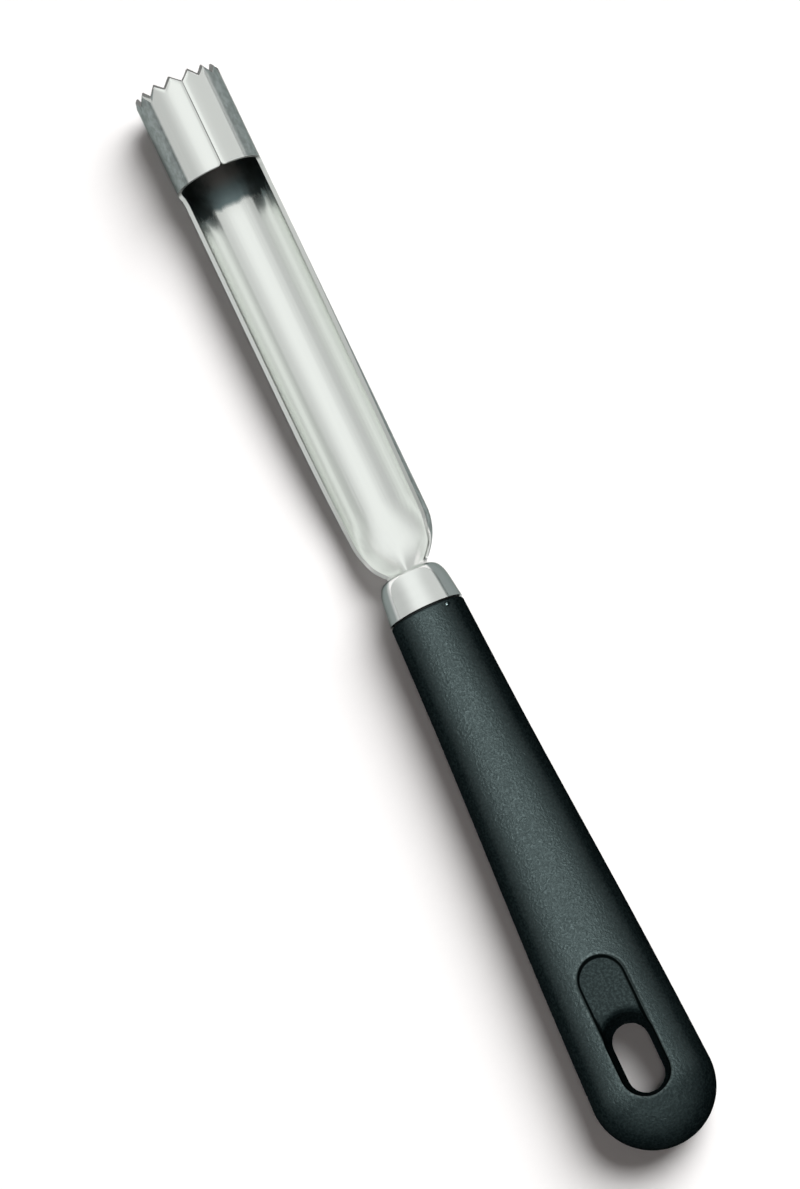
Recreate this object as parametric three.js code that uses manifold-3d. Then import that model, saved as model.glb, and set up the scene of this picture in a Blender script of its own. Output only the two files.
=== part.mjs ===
import * as THREE from 'three';
import { mergeVertices } from 'three/addons/utils/BufferGeometryUtils.js';
import Module from 'manifold-3d';

// An apple corer lying on its back. +Y runs from the handle to the toothed tip, +Z is up and the
// trough opens upwards. Sizes are in millimetres. Angles are in degrees round the tool's axis,
// measured from the lowest line of the sheet. y = 0 is the rear rim of the ferrule.

// Blade: one sheet of stainless steel, rolled into a ring and pressed into a trough and a neck
const SHEET = 0.8;
const RING_DIAMETER = 18;
const RING_LENGTH = 20.7;
const TOOTH_COUNT = 15;
const TOOTH_HEIGHT = 1.7;
const SEAM_GAP = 0.4;
const SEAM_TURN = 8;
const TROUGH_LENGTH = 88;
const WINDOW_FILLET = 1.3;
const LEFT_WING = 90;
const LEFT_WING_END = 66;
const RIGHT_WING = 92;
const RIGHT_WING_END = 116;
const SHOULDER_LENGTH = 9;
const SHOULDER_ROUNDNESS = 2.4;
const FLOOR_RISE_LENGTH = 16;
const CREASE_LENGTH = 10;
const CREASE_SOFTNESS = 0.15;
const NECK_LENGTH = 2;
const NECK_WIDTH = 8.8;
const NECK_DEPTH = 3.8;
const NECK_RIM_HEIGHT = 0.8;
const TANG_NOTCH_DEPTH = 1.3;
const TANG_NOTCH_LENGTH = 6;
const TANG_NOTCH_FLANK = 0.8;
const TANG_NOTCH_COUNT = 3;

// Handle
const HANDLE_LENGTH = 115;
const HANDLE_WIDTH = 24.8;
const HANDLE_FRONT_WIDTH = 15.3;
const HANDLE_EASE = 0.035;
const HANDLE_FULLNESS = 2.4;
const FRONT_EDGE_RADIUS = 0.5;
const BELLY_FLAT_WIDTH = 11;
const GRIP_WALL = 1.35;
const RECESS_LENGTH = 29.4;
const RECESS_WIDTH = 10.2;
const RECESS_DEPTH = 1.5;
const RECESS_WALL_SLOPE = 0.75;
const RECESS_TO_BUTT = 10;
const HOLE_LENGTH = 16.9;
const HOLE_DRAFT = 1.4;

// Core: the plug that grips the tang inside the handle and carries the ferrule on its nose
const CORE_TO_HOLE = 20;
const CORE_END_WALL = 8;
const CORE_GROOVE_DEPTH = 0.8;
const CORE_GROOVE_WIDTH = 5;
const CORE_GROOVE_COUNT = 4;

// Ferrule: a drawn cap over the joint
const FERRULE_LENGTH = 8.3;
const FERRULE_STEP = 0.05;
const FERRULE_TAPER = 0.5;
const FERRULE_SHOULDER = 4.2;
const FERRULE_WALL = 0.6;

// Clearance between pieces, and how far a cutting shape runs past the face that it opens
const FIT_GAP = 0.3;
const CUT_OVERRUN = 2;

// Fineness of the facets
const HALF_TOOTH_COLUMNS = 2;
const RING_ROWS = 2;
const TANG_ROOM_COLUMNS = 8;
const ROUND_SEGMENTS = 40;
const STADIUM_SEGMENTS = 12;
const SHAFT_RINGS = 14;
const BUTT_RINGS = 8;

const { degToRad, smoothstep, lerp, clamp } = THREE.MathUtils;

// Places that follow from the sizes
const AXIS_Z = RING_DIAMETER / 2;
const SHEET_RADIUS = (RING_DIAMETER - SHEET) / 2;
const RING_EDGE = FERRULE_LENGTH + TROUGH_LENGTH;
const TIP = RING_EDGE + RING_LENGTH;
const NECK_START = FERRULE_LENGTH + NECK_LENGTH;
const SHOULDER_START = NECK_START + SHOULDER_LENGTH;
const NECK_HALF_WIDTH = (NECK_WIDTH - SHEET) / 2;
const NECK_OPENING = Math.hypot(NECK_WIDTH / 2, NECK_RIM_HEIGHT + SHEET / 2) + FIT_GAP;
const BUTT = -HANDLE_LENGTH;
const BUTT_RADIUS = HANDLE_WIDTH / 2;
const BUTT_CENTRE = BUTT + BUTT_RADIUS;
const RECESS_END = BUTT + RECESS_TO_BUTT;
const FERRULE_RADIUS = HANDLE_FRONT_WIDTH / 2 + FERRULE_STEP;
const CORE_RADIUS = HANDLE_FRONT_WIDTH / 2 - GRIP_WALL - FIT_GAP;
const CORE_LENGTH = HANDLE_LENGTH - RECESS_TO_BUTT - HOLE_LENGTH - CORE_TO_HOLE;
const TANG_LENGTH = CORE_LENGTH - CORE_END_WALL;
const TANG_NOTCH_PITCH = TANG_LENGTH / (TANG_NOTCH_COUNT + 1);

const wasm = await Module();
wasm.setup();

function asSolid(geometry) {
  const bare = geometry.clone();
  bare.deleteAttribute('normal');
  bare.deleteAttribute('uv');
  const merged = mergeVertices(bare, 1e-4);
  const mesh = new wasm.Mesh({
    numProp: 3,
    vertProperties: new Float32Array(merged.attributes.position.array),
    triVerts: new Uint32Array(merged.index.array),
  });
  return new wasm.Manifold(mesh);
}

function asGeometry(solid) {
  const mesh = solid.getMesh();
  const geometry = new THREE.BufferGeometry();
  geometry.setAttribute('position', new THREE.BufferAttribute(mesh.vertProperties, 3));
  geometry.setIndex(new THREE.BufferAttribute(mesh.triVerts, 1));
  geometry.computeVertexNormals();
  return geometry;
}

function indexedGeometry(points, triangles) {
  const geometry = new THREE.BufferGeometry().setFromPoints(points);
  geometry.setIndex(triangles);
  geometry.computeVertexNormals();
  return geometry;
}

function centreOf(ring) {
  return ring.reduce((sum, p) => sum.add(p), new THREE.Vector3()).divideScalar(ring.length);
}

// Numbers from just after one end to the other end, evenly spaced.
function evenSteps(from, to, count) {
  return Array.from({ length: count }, (_, k) => lerp(from, to, (k + 1) / count));
}

// A solid skinned over closed rings of equally many points. A fan to an apex closes each end.
function loft(rings, firstApex = centreOf(rings[0]), lastApex = centreOf(rings.at(-1))) {
  const count = rings[0].length;
  const points = [...rings.flat(), firstApex, lastApex];
  const lastRing = (rings.length - 1) * count;
  const first = points.length - 2;
  const last = points.length - 1;
  const triangles = [];
  for (let k = 0; k < count; k += 1) {
    const next = (k + 1) % count;
    triangles.push(first, next, k);
    for (let start = 0; start < lastRing; start += count) {
      const a = start + k;
      const b = start + next;
      triangles.push(a, b, b + count, a, b + count, a + count);
    }
    triangles.push(last, lastRing + k, lastRing + next);
  }
  return indexedGeometry(points, triangles);
}

// A ring of points round a stadium whose long axis lies over x = 0.
function stadium(width, lowY, highY, z) {
  const radius = width / 2;
  const outline = new THREE.Path();
  outline.absarc(0, highY - radius, radius, 0, Math.PI);
  outline.absarc(0, lowY + radius, radius, Math.PI, 2 * Math.PI);
  return outline.getPoints(STADIUM_SEGMENTS).map((p) => new THREE.Vector3(p.x, p.y, z));
}

// Half-width of the pressed sheet: the trough's radius, drawn in over a rounded shoulder to the neck.
function wallHalfWidth(y) {
  const drawn = clamp((SHOULDER_START - y) / SHOULDER_LENGTH, 0, 1);
  return lerp(SHEET_RADIUS, NECK_HALF_WIDTH, drawn ** SHOULDER_ROUNDNESS);
}

// Depth of the floor's lowest line under the axis.
function floorDepth(y) {
  const risen = 1 - smoothstep(y, NECK_START, NECK_START + FLOOR_RISE_LENGTH);
  return lerp(SHEET_RADIUS, NECK_DEPTH - NECK_RIM_HEIGHT, risen);
}

// How far the round trough has become a V: 0 in the trough, 1 in the neck and the tang.
function creasing(y) {
  return 1 - smoothstep(y, NECK_START, NECK_START + CREASE_LENGTH);
}

// Angle at which the sheet ends on each side, in radians. The right rim rises towards the neck and
// the left one falls. A fillet widens both where the window meets the ring.
function wingAngle(y, side) {
  const fromRing = Math.max(RING_EDGE - y, 0);
  const inFillet = Math.max(WINDOW_FILLET - fromRing, 0);
  const filletArc = WINDOW_FILLET - Math.sqrt(WINDOW_FILLET ** 2 - inFillet ** 2);
  const along = clamp(fromRing / (RING_EDGE - SHOULDER_START), 0, 1);
  const left = lerp(LEFT_WING, LEFT_WING_END, along ** 3);
  const right = lerp(RIGHT_WING, RIGHT_WING_END, along);
  const upright = 90;
  const wing = lerp(side < 0 ? left : right, upright, creasing(y) ** 2);
  return degToRad(wing) + filletArc / SHEET_RADIUS;
}

// The middle of the sheet. across runs from -1 at the left rim over the floor to 1 at the right rim,
// and further round in the ring.
function middleOfSheet(across, y) {
  const depth = floorDepth(y);
  const angle = across * wingAngle(y, across);
  const sideways = Math.sin(angle);
  const fromCrease = Math.hypot(sideways, CREASE_SOFTNESS) - CREASE_SOFTNESS;
  const roundZ = -depth * Math.cos(angle);
  const creasedZ = -depth + NECK_DEPTH * fromCrease;
  return new THREE.Vector3(
    wallHalfWidth(y) * sideways,
    y,
    AXIS_Z + lerp(roundZ, creasedZ, creasing(y)),
  );
}

function sheetNormal(across, y) {
  const step = 1e-3;
  const sideways = middleOfSheet(across + step, y).sub(middleOfSheet(across - step, y));
  const along = middleOfSheet(across, y - step).sub(middleOfSheet(across, y + step));
  return sideways.cross(along).normalize();
}

// A point on either skin of the sheet. In the V of the neck the section can be scaled about its crease.
function skinOfSheet(across, y, offset, scale = 1) {
  const crease = new THREE.Vector3(0, y, AXIS_Z - floorDepth(y));
  const middle = middleOfSheet(across, y).sub(crease).multiplyScalar(scale).add(crease);
  return middle.addScaledVector(sheetNormal(across, y), offset);
}

// Closes a bent sheet: two skins over the cells that are metal, and a wall on every free edge.
function closedSheet(columns, rows, isMetal, place) {
  const points = [];
  const triangles = [];
  const known = new Map();
  const corner = (column, row, side) => {
    const key = `${column} ${row} ${side}`;
    if (!known.has(key)) {
      known.set(key, points.length);
      points.push(place(column, row, side));
    }
    return known.get(key);
  };
  const quad = (a, b, c, d) => triangles.push(a, b, c, a, c, d);
  const metalAt = (column, row) =>
    column >= 0 && row >= 0 && column < columns && row < rows && isMetal(column, row);
  for (let column = 0; column < columns; column += 1) {
    for (let row = 0; row < rows; row += 1) {
      if (!metalAt(column, row)) continue;
      const loop = [[column, row], [column + 1, row], [column + 1, row + 1], [column, row + 1]];
      const beyond = [[column, row - 1], [column + 1, row], [column, row + 1], [column - 1, row]];
      const outer = loop.map(([c, r]) => corner(c, r, 1));
      const inner = loop.map(([c, r]) => corner(c, r, -1));
      quad(...outer);
      quad(...inner.toReversed());
      beyond.forEach(([c, r], edge) => {
        const next = (edge + 1) % loop.length;
        if (!metalAt(c, r)) quad(outer[next], outer[edge], inner[edge], inner[next]);
      });
    }
  }
  return indexedGeometry(points, triangles);
}

// Columns of the rolled blank, from one edge of the seam to the other. The ring takes all of them,
// and the trough the ones between its two rims.
const SEAM_LEFT = degToRad(-180 - SEAM_TURN);
const SEAM_RIGHT = degToRad(180 - SEAM_TURN);
const SEAM_HALF_ANGLE = SEAM_GAP / 2 / SHEET_RADIUS;
const LEFT_RIM = -wingAngle(RING_EDGE, -1);
const RIGHT_RIM = wingAngle(RING_EDGE, 1);
const RING_COLUMNS = 2 * TOOTH_COUNT * HALF_TOOTH_COLUMNS;
const LEFT_RIM_COLUMN = nearestColumn(LEFT_RIM);
const FLOOR_COLUMN = nearestColumn(0);
const RIGHT_RIM_COLUMN = nearestColumn(RIGHT_RIM);

function nearestColumn(angle) {
  return Math.round((RING_COLUMNS * (angle - SEAM_LEFT)) / (SEAM_RIGHT - SEAM_LEFT));
}

function clearOfSeam(angle) {
  return clamp(angle, SEAM_LEFT + SEAM_HALF_ANGLE, SEAM_RIGHT - SEAM_HALF_ANGLE);
}

// At the teeth the columns are evenly spaced, so that every tip and valley has one.
function angleAtTeeth(column) {
  return clearOfSeam(lerp(SEAM_LEFT, SEAM_RIGHT, column / RING_COLUMNS));
}

// At the window one column falls on each rim and one on the lowest line.
function angleAtWindow(column) {
  const stations = [
    [0, clearOfSeam(SEAM_LEFT)],
    [LEFT_RIM_COLUMN, LEFT_RIM],
    [FLOOR_COLUMN, 0],
    [RIGHT_RIM_COLUMN, RIGHT_RIM],
    [RING_COLUMNS, clearOfSeam(SEAM_RIGHT)],
  ];
  const next = Math.max(stations.findIndex(([at]) => at >= column), 1);
  const [fromColumn, fromAngle] = stations[next - 1];
  const [toColumn, toAngle] = stations[next];
  return lerp(fromAngle, toAngle, (column - fromColumn) / (toColumn - fromColumn));
}

function acrossAt(angle) {
  return angle / wingAngle(RING_EDGE, angle);
}

// The teeth are straight-sided Vs, with a valley on the seam.
function toothedEnd(column) {
  const fromTip = Math.abs(((column / HALF_TOOTH_COLUMNS) % 2) - 1);
  return TIP - TOOTH_HEIGHT * fromTip;
}

// The tang is notched on both edges, so that the core cannot slide off it.
function tangScale(y) {
  const nearest = clamp(Math.round(-y / TANG_NOTCH_PITCH), 1, TANG_NOTCH_COUNT);
  const fromNotch = Math.abs(y + nearest * TANG_NOTCH_PITCH);
  return fromNotch < TANG_NOTCH_LENGTH / 2 ? 1 - TANG_NOTCH_DEPTH / NECK_HALF_WIDTH : 1;
}

// Rows of the sheet from the window to the end of the tang, closer together where it bends.
function rowsBelowRing() {
  const riseStart = NECK_START + FLOOR_RISE_LENGTH;
  const filletParts = [0.05, 0.2, 0.5, 1];
  const rows = filletParts.map((part) => RING_EDGE - part * WINDOW_FILLET);
  rows.push(...evenSteps(RING_EDGE - WINDOW_FILLET, riseStart, 4));
  rows.push(...evenSteps(riseStart, NECK_START, 12));
  rows.push(...evenSteps(NECK_START, 0, 2));
  const outside = (TANG_NOTCH_LENGTH + TANG_NOTCH_FLANK) / 2;
  const inside = (TANG_NOTCH_LENGTH - TANG_NOTCH_FLANK) / 2;
  for (let notch = 1; notch <= TANG_NOTCH_COUNT; notch += 1) {
    const middle = -notch * TANG_NOTCH_PITCH;
    rows.push(middle + outside, middle + inside, middle - inside, middle - outside);
  }
  return [...rows, -TANG_LENGTH];
}

function corerBlade() {
  const below = rowsBelowRing();
  const place = (column, row, side) => {
    const offset = (side * SHEET) / 2;
    const atWindow = angleAtWindow(column);
    if (row > RING_ROWS) {
      const y = below[row - RING_ROWS - 1];
      return skinOfSheet(acrossAt(atWindow), y, offset, tangScale(y));
    }
    const towardsTip = 1 - row / RING_ROWS;
    const angle = lerp(atWindow, angleAtTeeth(column), towardsTip);
    return skinOfSheet(acrossAt(angle), lerp(RING_EDGE, toothedEnd(column), towardsTip), offset);
  };
  const isMetal = (column, row) =>
    row < RING_ROWS || (column >= LEFT_RIM_COLUMN && column < RIGHT_RIM_COLUMN);
  return closedSheet(RING_COLUMNS, RING_ROWS + below.length, isMetal, place);
}

// The slot that the tang needs inside the core.
function tangRoom() {
  const ends = [NECK_START, -TANG_LENGTH - FIT_GAP];
  const scale = 1 + FIT_GAP / NECK_HALF_WIDTH;
  const place = (column, row, side) => {
    const across = lerp(-1, 1, column / TANG_ROOM_COLUMNS);
    return skinOfSheet(across, -TANG_LENGTH, side * (SHEET / 2 + FIT_GAP), scale).setY(ends[row]);
  };
  return closedSheet(TANG_ROOM_COLUMNS, 1, () => true, place);
}

// The ferrule's profile as radius and y, from its rear rim over the shoulder to the lip of its opening.
// A wall or a clearance moves it inwards.
function ferruleProfile(inset) {
  const shoulderY = FERRULE_LENGTH - FERRULE_SHOULDER;
  const taper = FERRULE_TAPER / shoulderY;
  const shoulder = new THREE.Vector2(FERRULE_RADIUS - FERRULE_TAPER, shoulderY);
  const corner = new THREE.Vector2(FERRULE_RADIUS - taper * FERRULE_LENGTH, FERRULE_LENGTH);
  const lip = new THREE.Vector2(NECK_OPENING, FERRULE_LENGTH);
  const dome = new THREE.QuadraticBezierCurve(shoulder, corner, lip);
  const moved = [new THREE.Vector2(FERRULE_RADIUS - inset, 0)];
  for (const part of [0, ...evenSteps(0, 1, 8)]) {
    const tangent = dome.getTangent(part);
    const inwards = new THREE.Vector2(-tangent.y, tangent.x);
    moved.push(dome.getPoint(part).addScaledVector(inwards, inset));
  }
  return moved;
}

function ferrule() {
  const outer = ferruleProfile(0);
  const inner = ferruleProfile(FERRULE_WALL).toReversed();
  const cap = new THREE.LatheGeometry([...outer, ...inner, outer[0].clone()], ROUND_SEGMENTS);
  return cap.translate(0, 0, AXIS_Z);
}

// The core's profile inside the handle, as radius and y, from its end to its front. Grooves lock it in
// the handle, and a clearance grows it for the handle's socket.
function coreProfile(grow, front) {
  const radius = CORE_RADIUS + grow;
  const waist = radius - CORE_GROOVE_DEPTH;
  const pitch = CORE_LENGTH / (CORE_GROOVE_COUNT + 1);
  const outside = (CORE_GROOVE_WIDTH + CORE_GROOVE_DEPTH) / 2 - grow;
  const inside = (CORE_GROOVE_WIDTH - CORE_GROOVE_DEPTH) / 2 - grow;
  const end = -CORE_LENGTH - grow;
  const profile = [new THREE.Vector2(0, end), new THREE.Vector2(radius, end)];
  for (let groove = CORE_GROOVE_COUNT; groove >= 1; groove -= 1) {
    const middle = -groove * pitch;
    profile.push(new THREE.Vector2(radius, middle - outside));
    profile.push(new THREE.Vector2(waist, middle - inside));
    profile.push(new THREE.Vector2(waist, middle + inside));
    profile.push(new THREE.Vector2(radius, middle + outside));
  }
  profile.push(new THREE.Vector2(radius, front));
  return profile;
}

function tangCore() {
  const nose = ferruleProfile(FERRULE_WALL + FIT_GAP);
  const tip = new THREE.Vector2(0, nose.at(-1).y);
  const plug = new THREE.LatheGeometry([...coreProfile(0, 0), ...nose, tip], ROUND_SEGMENTS);
  plug.translate(0, 0, AXIS_Z);
  return asGeometry(asSolid(plug).subtract(asSolid(tangRoom())));
}

// How far the handle has widened at y: 0 at its front, 1 where its round end begins.
function handleSpread(y) {
  const along = clamp(y / BUTT_CENTRE, 0, 1);
  return along - HANDLE_EASE * Math.sin(2 * Math.PI * along);
}

// Height of the handle's skin over its axis, or depth under it. reach is 0 on the middle line and 1 on
// the outline. The section is round at the front and fuller at the end, and its belly is flat on the table.
function skinHeight(reach, spread, isTop) {
  const round = 2;
  const fullness = lerp(round, HANDLE_FULLNESS, spread);
  const flatReach = BELLY_FLAT_WIDTH / HANDLE_WIDTH;
  const belly = AXIS_Z / (1 - flatReach ** HANDLE_FULLNESS) ** (1 / HANDLE_FULLNESS);
  const full = lerp(HANDLE_FRONT_WIDTH / 2, isTop ? AXIS_Z : belly, spread);
  return Math.min(full * (1 - reach ** fullness) ** (1 / fullness), AXIS_Z);
}

// A ring round the handle. The end is a half-circle seen from above.
function handleRing(y, inset = 0) {
  const spread = handleSpread(y);
  const pastCentre = clamp((BUTT_CENTRE - y) / BUTT_RADIUS, 0, 1);
  const outline = lerp(HANDLE_FRONT_WIDTH, HANDLE_WIDTH, spread) / 2;
  const half = outline * Math.sqrt(1 - pastCentre ** 2);
  const shrink = 1 - inset / outline;
  return Array.from({ length: ROUND_SEGMENTS }, (_, k) => {
    const turn = (2 * Math.PI * k) / ROUND_SEGMENTS;
    const isTop = turn < Math.PI;
    const x = half * Math.cos(turn);
    const reach = Math.min(Math.hypot(x / outline, pastCentre), 1);
    const height = skinHeight(reach, spread, isTop) * (isTop ? 1 : -1);
    return new THREE.Vector3(x * shrink, y, AXIS_Z + height * shrink);
  });
}

function handleBody() {
  const front = -FIT_GAP;
  const edgeEnd = front - FRONT_EDGE_RADIUS;
  const rounding = FRONT_EDGE_RADIUS * (1 - Math.SQRT1_2);
  const shaft = evenSteps(edgeEnd, BUTT_CENTRE, SHAFT_RINGS);
  const turns = evenSteps(0, Math.PI / 2, BUTT_RINGS + 1).slice(0, BUTT_RINGS);
  const end = turns.map((turn) => BUTT_CENTRE - BUTT_RADIUS * Math.sin(turn));
  const rings = [
    handleRing(front, FRONT_EDGE_RADIUS),
    handleRing(front - rounding, rounding),
    handleRing(edgeEnd),
    ...[...shaft, ...end].map((y) => handleRing(y)),
  ];
  return loft(rings, centreOf(rings[0]), new THREE.Vector3(0, BUTT, AXIS_Z));
}

// The recess on top has sloping walls: its outline widens from the floor upwards.
function recessRoom() {
  const crown = 2 * AXIS_Z;
  const outline = (grow, z) => {
    const highEnd = RECESS_END + RECESS_LENGTH + grow;
    return stadium(RECESS_WIDTH + 2 * grow, RECESS_END - grow, highEnd, z);
  };
  const floor = outline(-RECESS_WALL_SLOPE, crown - RECESS_DEPTH);
  return loft([floor, outline(RECESS_WALL_SLOPE, crown + RECESS_DEPTH)]);
}

// The hanging hole narrows from both faces to a waist half-way through.
function holeRoom() {
  const outline = (fromWaist) => {
    const inset = HOLE_DRAFT * (1 - Math.abs(fromWaist) / AXIS_Z);
    const highEnd = RECESS_END + HOLE_LENGTH - inset;
    return stadium(RECESS_WIDTH - 2 * inset, RECESS_END + inset, highEnd, AXIS_Z + fromWaist);
  };
  const reach = AXIS_Z + CUT_OVERRUN;
  return loft([outline(-reach), outline(0), outline(reach)]);
}

function handleGrip() {
  const mouth = new THREE.Vector2(0, CUT_OVERRUN);
  const socket = new THREE.LatheGeometry([...coreProfile(FIT_GAP, CUT_OVERRUN), mouth], ROUND_SEGMENTS);
  socket.translate(0, 0, AXIS_Z);
  const grip = asSolid(handleBody())
    .subtract(asSolid(socket))
    .subtract(asSolid(recessRoom()))
    .subtract(asSolid(holeRoom()));
  return asGeometry(grip);
}

const polishedSteel = { color: 0xc9cdc9, roughness: 0.18, metalness: 1 };
const drawnSteel = { color: 0xcfd3cf, roughness: 0.15, metalness: 1 };
const corePlastic = { color: 0x2c3030, roughness: 0.7, metalness: 0 };
const gripPlastic = { color: 0x1d2424, roughness: 0.55, metalness: 0 };

function subPart(name, geometry, finish) {
  const mesh = new THREE.Mesh(geometry, new THREE.MeshStandardMaterial(finish));
  mesh.name = name;
  return mesh;
}

const corer = new THREE.Group();
corer.add(subPart('corer_blade', corerBlade(), polishedSteel));
corer.add(subPart('ferrule', ferrule(), drawnSteel));
corer.add(subPart('tang_core', tangCore(), corePlastic));
corer.add(subPart('handle_grip', handleGrip(), gripPlastic));

// The tool's middle lies over the origin.
corer.position.y = (HANDLE_LENGTH - TIP) / 2;

const part = new THREE.Group();
part.add(corer);

export default part;
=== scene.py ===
# %% [markdown]
# # An apple corer in Blender
# The tool lies on its back on a pale floor: a toothed steel ring, a long open trough, a pinched neck,
# a drawn steel ferrule and a dark moulded handle with a hanging hole. The solids of the part come in
# first. Everything made below lies in the same frame, so no piece has to be fitted by eye.

# %% Load the solids and keep their box
import math

import bpy
import numpy as np
from mathutils import Matrix, Vector


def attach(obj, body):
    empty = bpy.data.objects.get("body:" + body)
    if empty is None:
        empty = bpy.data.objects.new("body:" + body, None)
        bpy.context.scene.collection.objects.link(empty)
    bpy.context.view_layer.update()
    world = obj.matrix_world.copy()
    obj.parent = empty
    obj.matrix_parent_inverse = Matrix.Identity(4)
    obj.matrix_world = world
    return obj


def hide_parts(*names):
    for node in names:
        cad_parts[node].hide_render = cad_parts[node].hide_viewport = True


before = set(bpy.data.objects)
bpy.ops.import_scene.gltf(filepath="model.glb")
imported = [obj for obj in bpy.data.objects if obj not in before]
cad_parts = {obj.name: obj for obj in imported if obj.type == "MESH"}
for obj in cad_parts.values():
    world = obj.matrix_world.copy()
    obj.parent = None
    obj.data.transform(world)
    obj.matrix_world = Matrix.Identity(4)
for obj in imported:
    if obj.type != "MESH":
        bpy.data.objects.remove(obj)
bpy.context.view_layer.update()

# %% [markdown]
# ## Sizes
# The sizes are in millimetres and degrees, and all but a few small ones, such as the gap of the seam and
# the start of the neck, are those of the solids. As there, y = 0 is the rear rim of the ferrule, +y runs to
# the teeth, and z = 0 is the table. Two small helpers alone know where that zero lies in the shared frame,
# one for points and one for shaders, so a formula can be read against the part's own drawing. The solids
# have flat facets, so a true round with the same radius would stand out by microns. `ROUND_INSET` keeps it
# inside.

# %% Sizes of the tool
SHEET = 0.8
RING_DIAMETER = 18.0
RING_LENGTH = 20.7
TROUGH_LENGTH = 88.0
FERRULE_LENGTH = 8.3
HANDLE_LENGTH = 115.0
HANDLE_WIDTH = 24.8
HANDLE_FRONT_WIDTH = 15.3
FIT_GAP = 0.3
ROUND_INSET = 0.004

AXIS_Z = RING_DIAMETER / 2
SHEET_RADIUS = (RING_DIAMETER - SHEET) / 2
RING_EDGE = FERRULE_LENGTH + TROUGH_LENGTH
TIP = RING_EDGE + RING_LENGTH
MILLIMETRE = 0.001
ZERO_Y = (HANDLE_LENGTH - TIP) / 2


def to_metres(points):
    """Points of the drawing in millimetres, moved along y to the shared frame and scaled to metres."""
    return (np.asarray(points) + [0, ZERO_Y, 0]) * MILLIMETRE


def lerp(start, end, share):
    """The value that lies the given share of the way from start to end."""
    return start + (end - start) * share


def smoothstep(value, low, high):
    """An S-curve from 0 at low to 1 at high: 3t^2 - 2t^3, where t is the share of the way."""
    share = np.clip((value - low) / (high - low), 0, 1)
    return share * share * (3 - 2 * share)


print("tip at", TIP, "mm, overall length", TIP + HANDLE_LENGTH, "mm")

# %% [markdown]
# ## From grid to mesh
# Every new piece is a grid of points worked out as whole arrays. A few helpers turn it into a mesh: one
# joins neighbouring rows with four-sided faces, one closes a row to a pole, and one hands points and faces
# to Blender. The enclosed volume is summed over the faces as it goes in. It is positive only if the faces
# look outwards. Two modifiers finish a piece: Bevel rounds its edges, and Weld joins the points that end up
# on top of one another where a rounded edge is very short.

# %% Faces between points


def strip_faces(rings):
    """Faces between neighbouring rows of point numbers. Each row is closed on itself."""
    onward = np.roll(rings, -1, axis=1)
    corners = [rings[:-1], onward[:-1], onward[1:], rings[1:]]
    return np.stack(corners, axis=-1).reshape(-1, 4)


def fan_faces(ring, apex):
    """Triangles from each side of a closed row of point numbers to one point."""
    return np.stack([ring, np.roll(ring, -1), np.full_like(ring, apex)], axis=-1)


def enclosed_volume(points, faces):
    """A sixth of the sum of a . (b x c) over the triangles a, b, c of all faces."""
    total = 0.0
    for corners in faces:
        for k in range(1, corners.shape[1] - 1):
            a, b, c = (points[corners[:, i]] for i in (0, k, k + 1))
            total += np.einsum("ij,ij->", a, np.cross(b, c)) / 6
    return total


# %% Pieces and their modifiers
SHARP_ANGLE = 50
MERGE_DISTANCE = 0.002


def make_piece(name, points, *faces, sharp_from=SHARP_ANGLE):
    """A smooth-shaded object at the origin, with its place in its mesh. Edges with a larger angle between
    their faces than sharp_from stay sharp."""
    mesh = bpy.data.meshes.new(name)
    mesh.from_pydata(to_metres(points), [], [face for block in faces for face in block.tolist()])
    mesh.shade_smooth()
    mesh.set_sharp_from_angle(angle=math.radians(sharp_from))
    piece = bpy.data.objects.new(name, mesh)
    bpy.context.scene.collection.objects.link(piece)
    volume = enclosed_volume(np.asarray(points), faces)
    print(f"{name}: {len(mesh.polygons)} faces, {volume:.0f} cubic millimetres")
    return piece


def round_edges(piece, width, segments, limit="ANGLE"):
    """Rounds the sharp or the weighted edges of a piece with a Bevel modifier."""
    bevel = piece.modifiers.new("rounded_edges", "BEVEL")
    bevel.width = width * MILLIMETRE
    bevel.segments = segments
    bevel.limit_method = limit
    bevel.angle_limit = math.radians(SHARP_ANGLE)


def merge_points(piece):
    """Joins the points that lie closer than the merge distance, with a Weld modifier."""
    weld = piece.modifiers.new("merged_points", "WELD")
    weld.merge_threshold = MERGE_DISTANCE * MILLIMETRE


# %% [markdown]
# ## The sheet of the blade
# The real blade is one blank of stainless sheet: rolled into a ring at the tip, pressed into a half-round
# trough, folded into a V at the neck, and hidden as a notched tang in the handle. It could be modelled
# piece by piece and joined, but the metal is continuous. So one formula gives the middle of the sheet for
# an angle round the axis and a place along it, and the two skins lie half a sheet to either side.

# %% The middle of the sheet
NECK_LENGTH = 1.0
NECK_START = FERRULE_LENGTH + NECK_LENGTH
SHOULDER_LENGTH = 10.0
SHOULDER_START = NECK_START + SHOULDER_LENGTH
SHOULDER_ROUNDNESS = 2.2
FLOOR_RISE_LENGTH = 16.0
CREASE_LENGTH = 7.5
CREASE_SOFTNESS = 0.15
NECK_WIDTH = 8.8
NECK_HALF_WIDTH = (NECK_WIDTH - SHEET) / 2
NECK_DEPTH = 3.8
NECK_RIM_HEIGHT = 0.8
LEFT_SQUEEZE = 0.055
SQUEEZE_GROWTH = 2.0


def creasing(y):
    """How far the round trough has become a V: an S-curve, 0 in the trough and 1 in the neck."""
    return 1 - smoothstep(y, NECK_START, NECK_START + CREASE_LENGTH)


def floor_depth(y):
    """Depth of the lowest line under the axis: the trough's radius, then an S-curve up to the neck."""
    risen = 1 - smoothstep(y, NECK_START, NECK_START + FLOOR_RISE_LENGTH)
    return lerp(SHEET_RADIUS, NECK_DEPTH - NECK_RIM_HEIGHT, risen)


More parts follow.
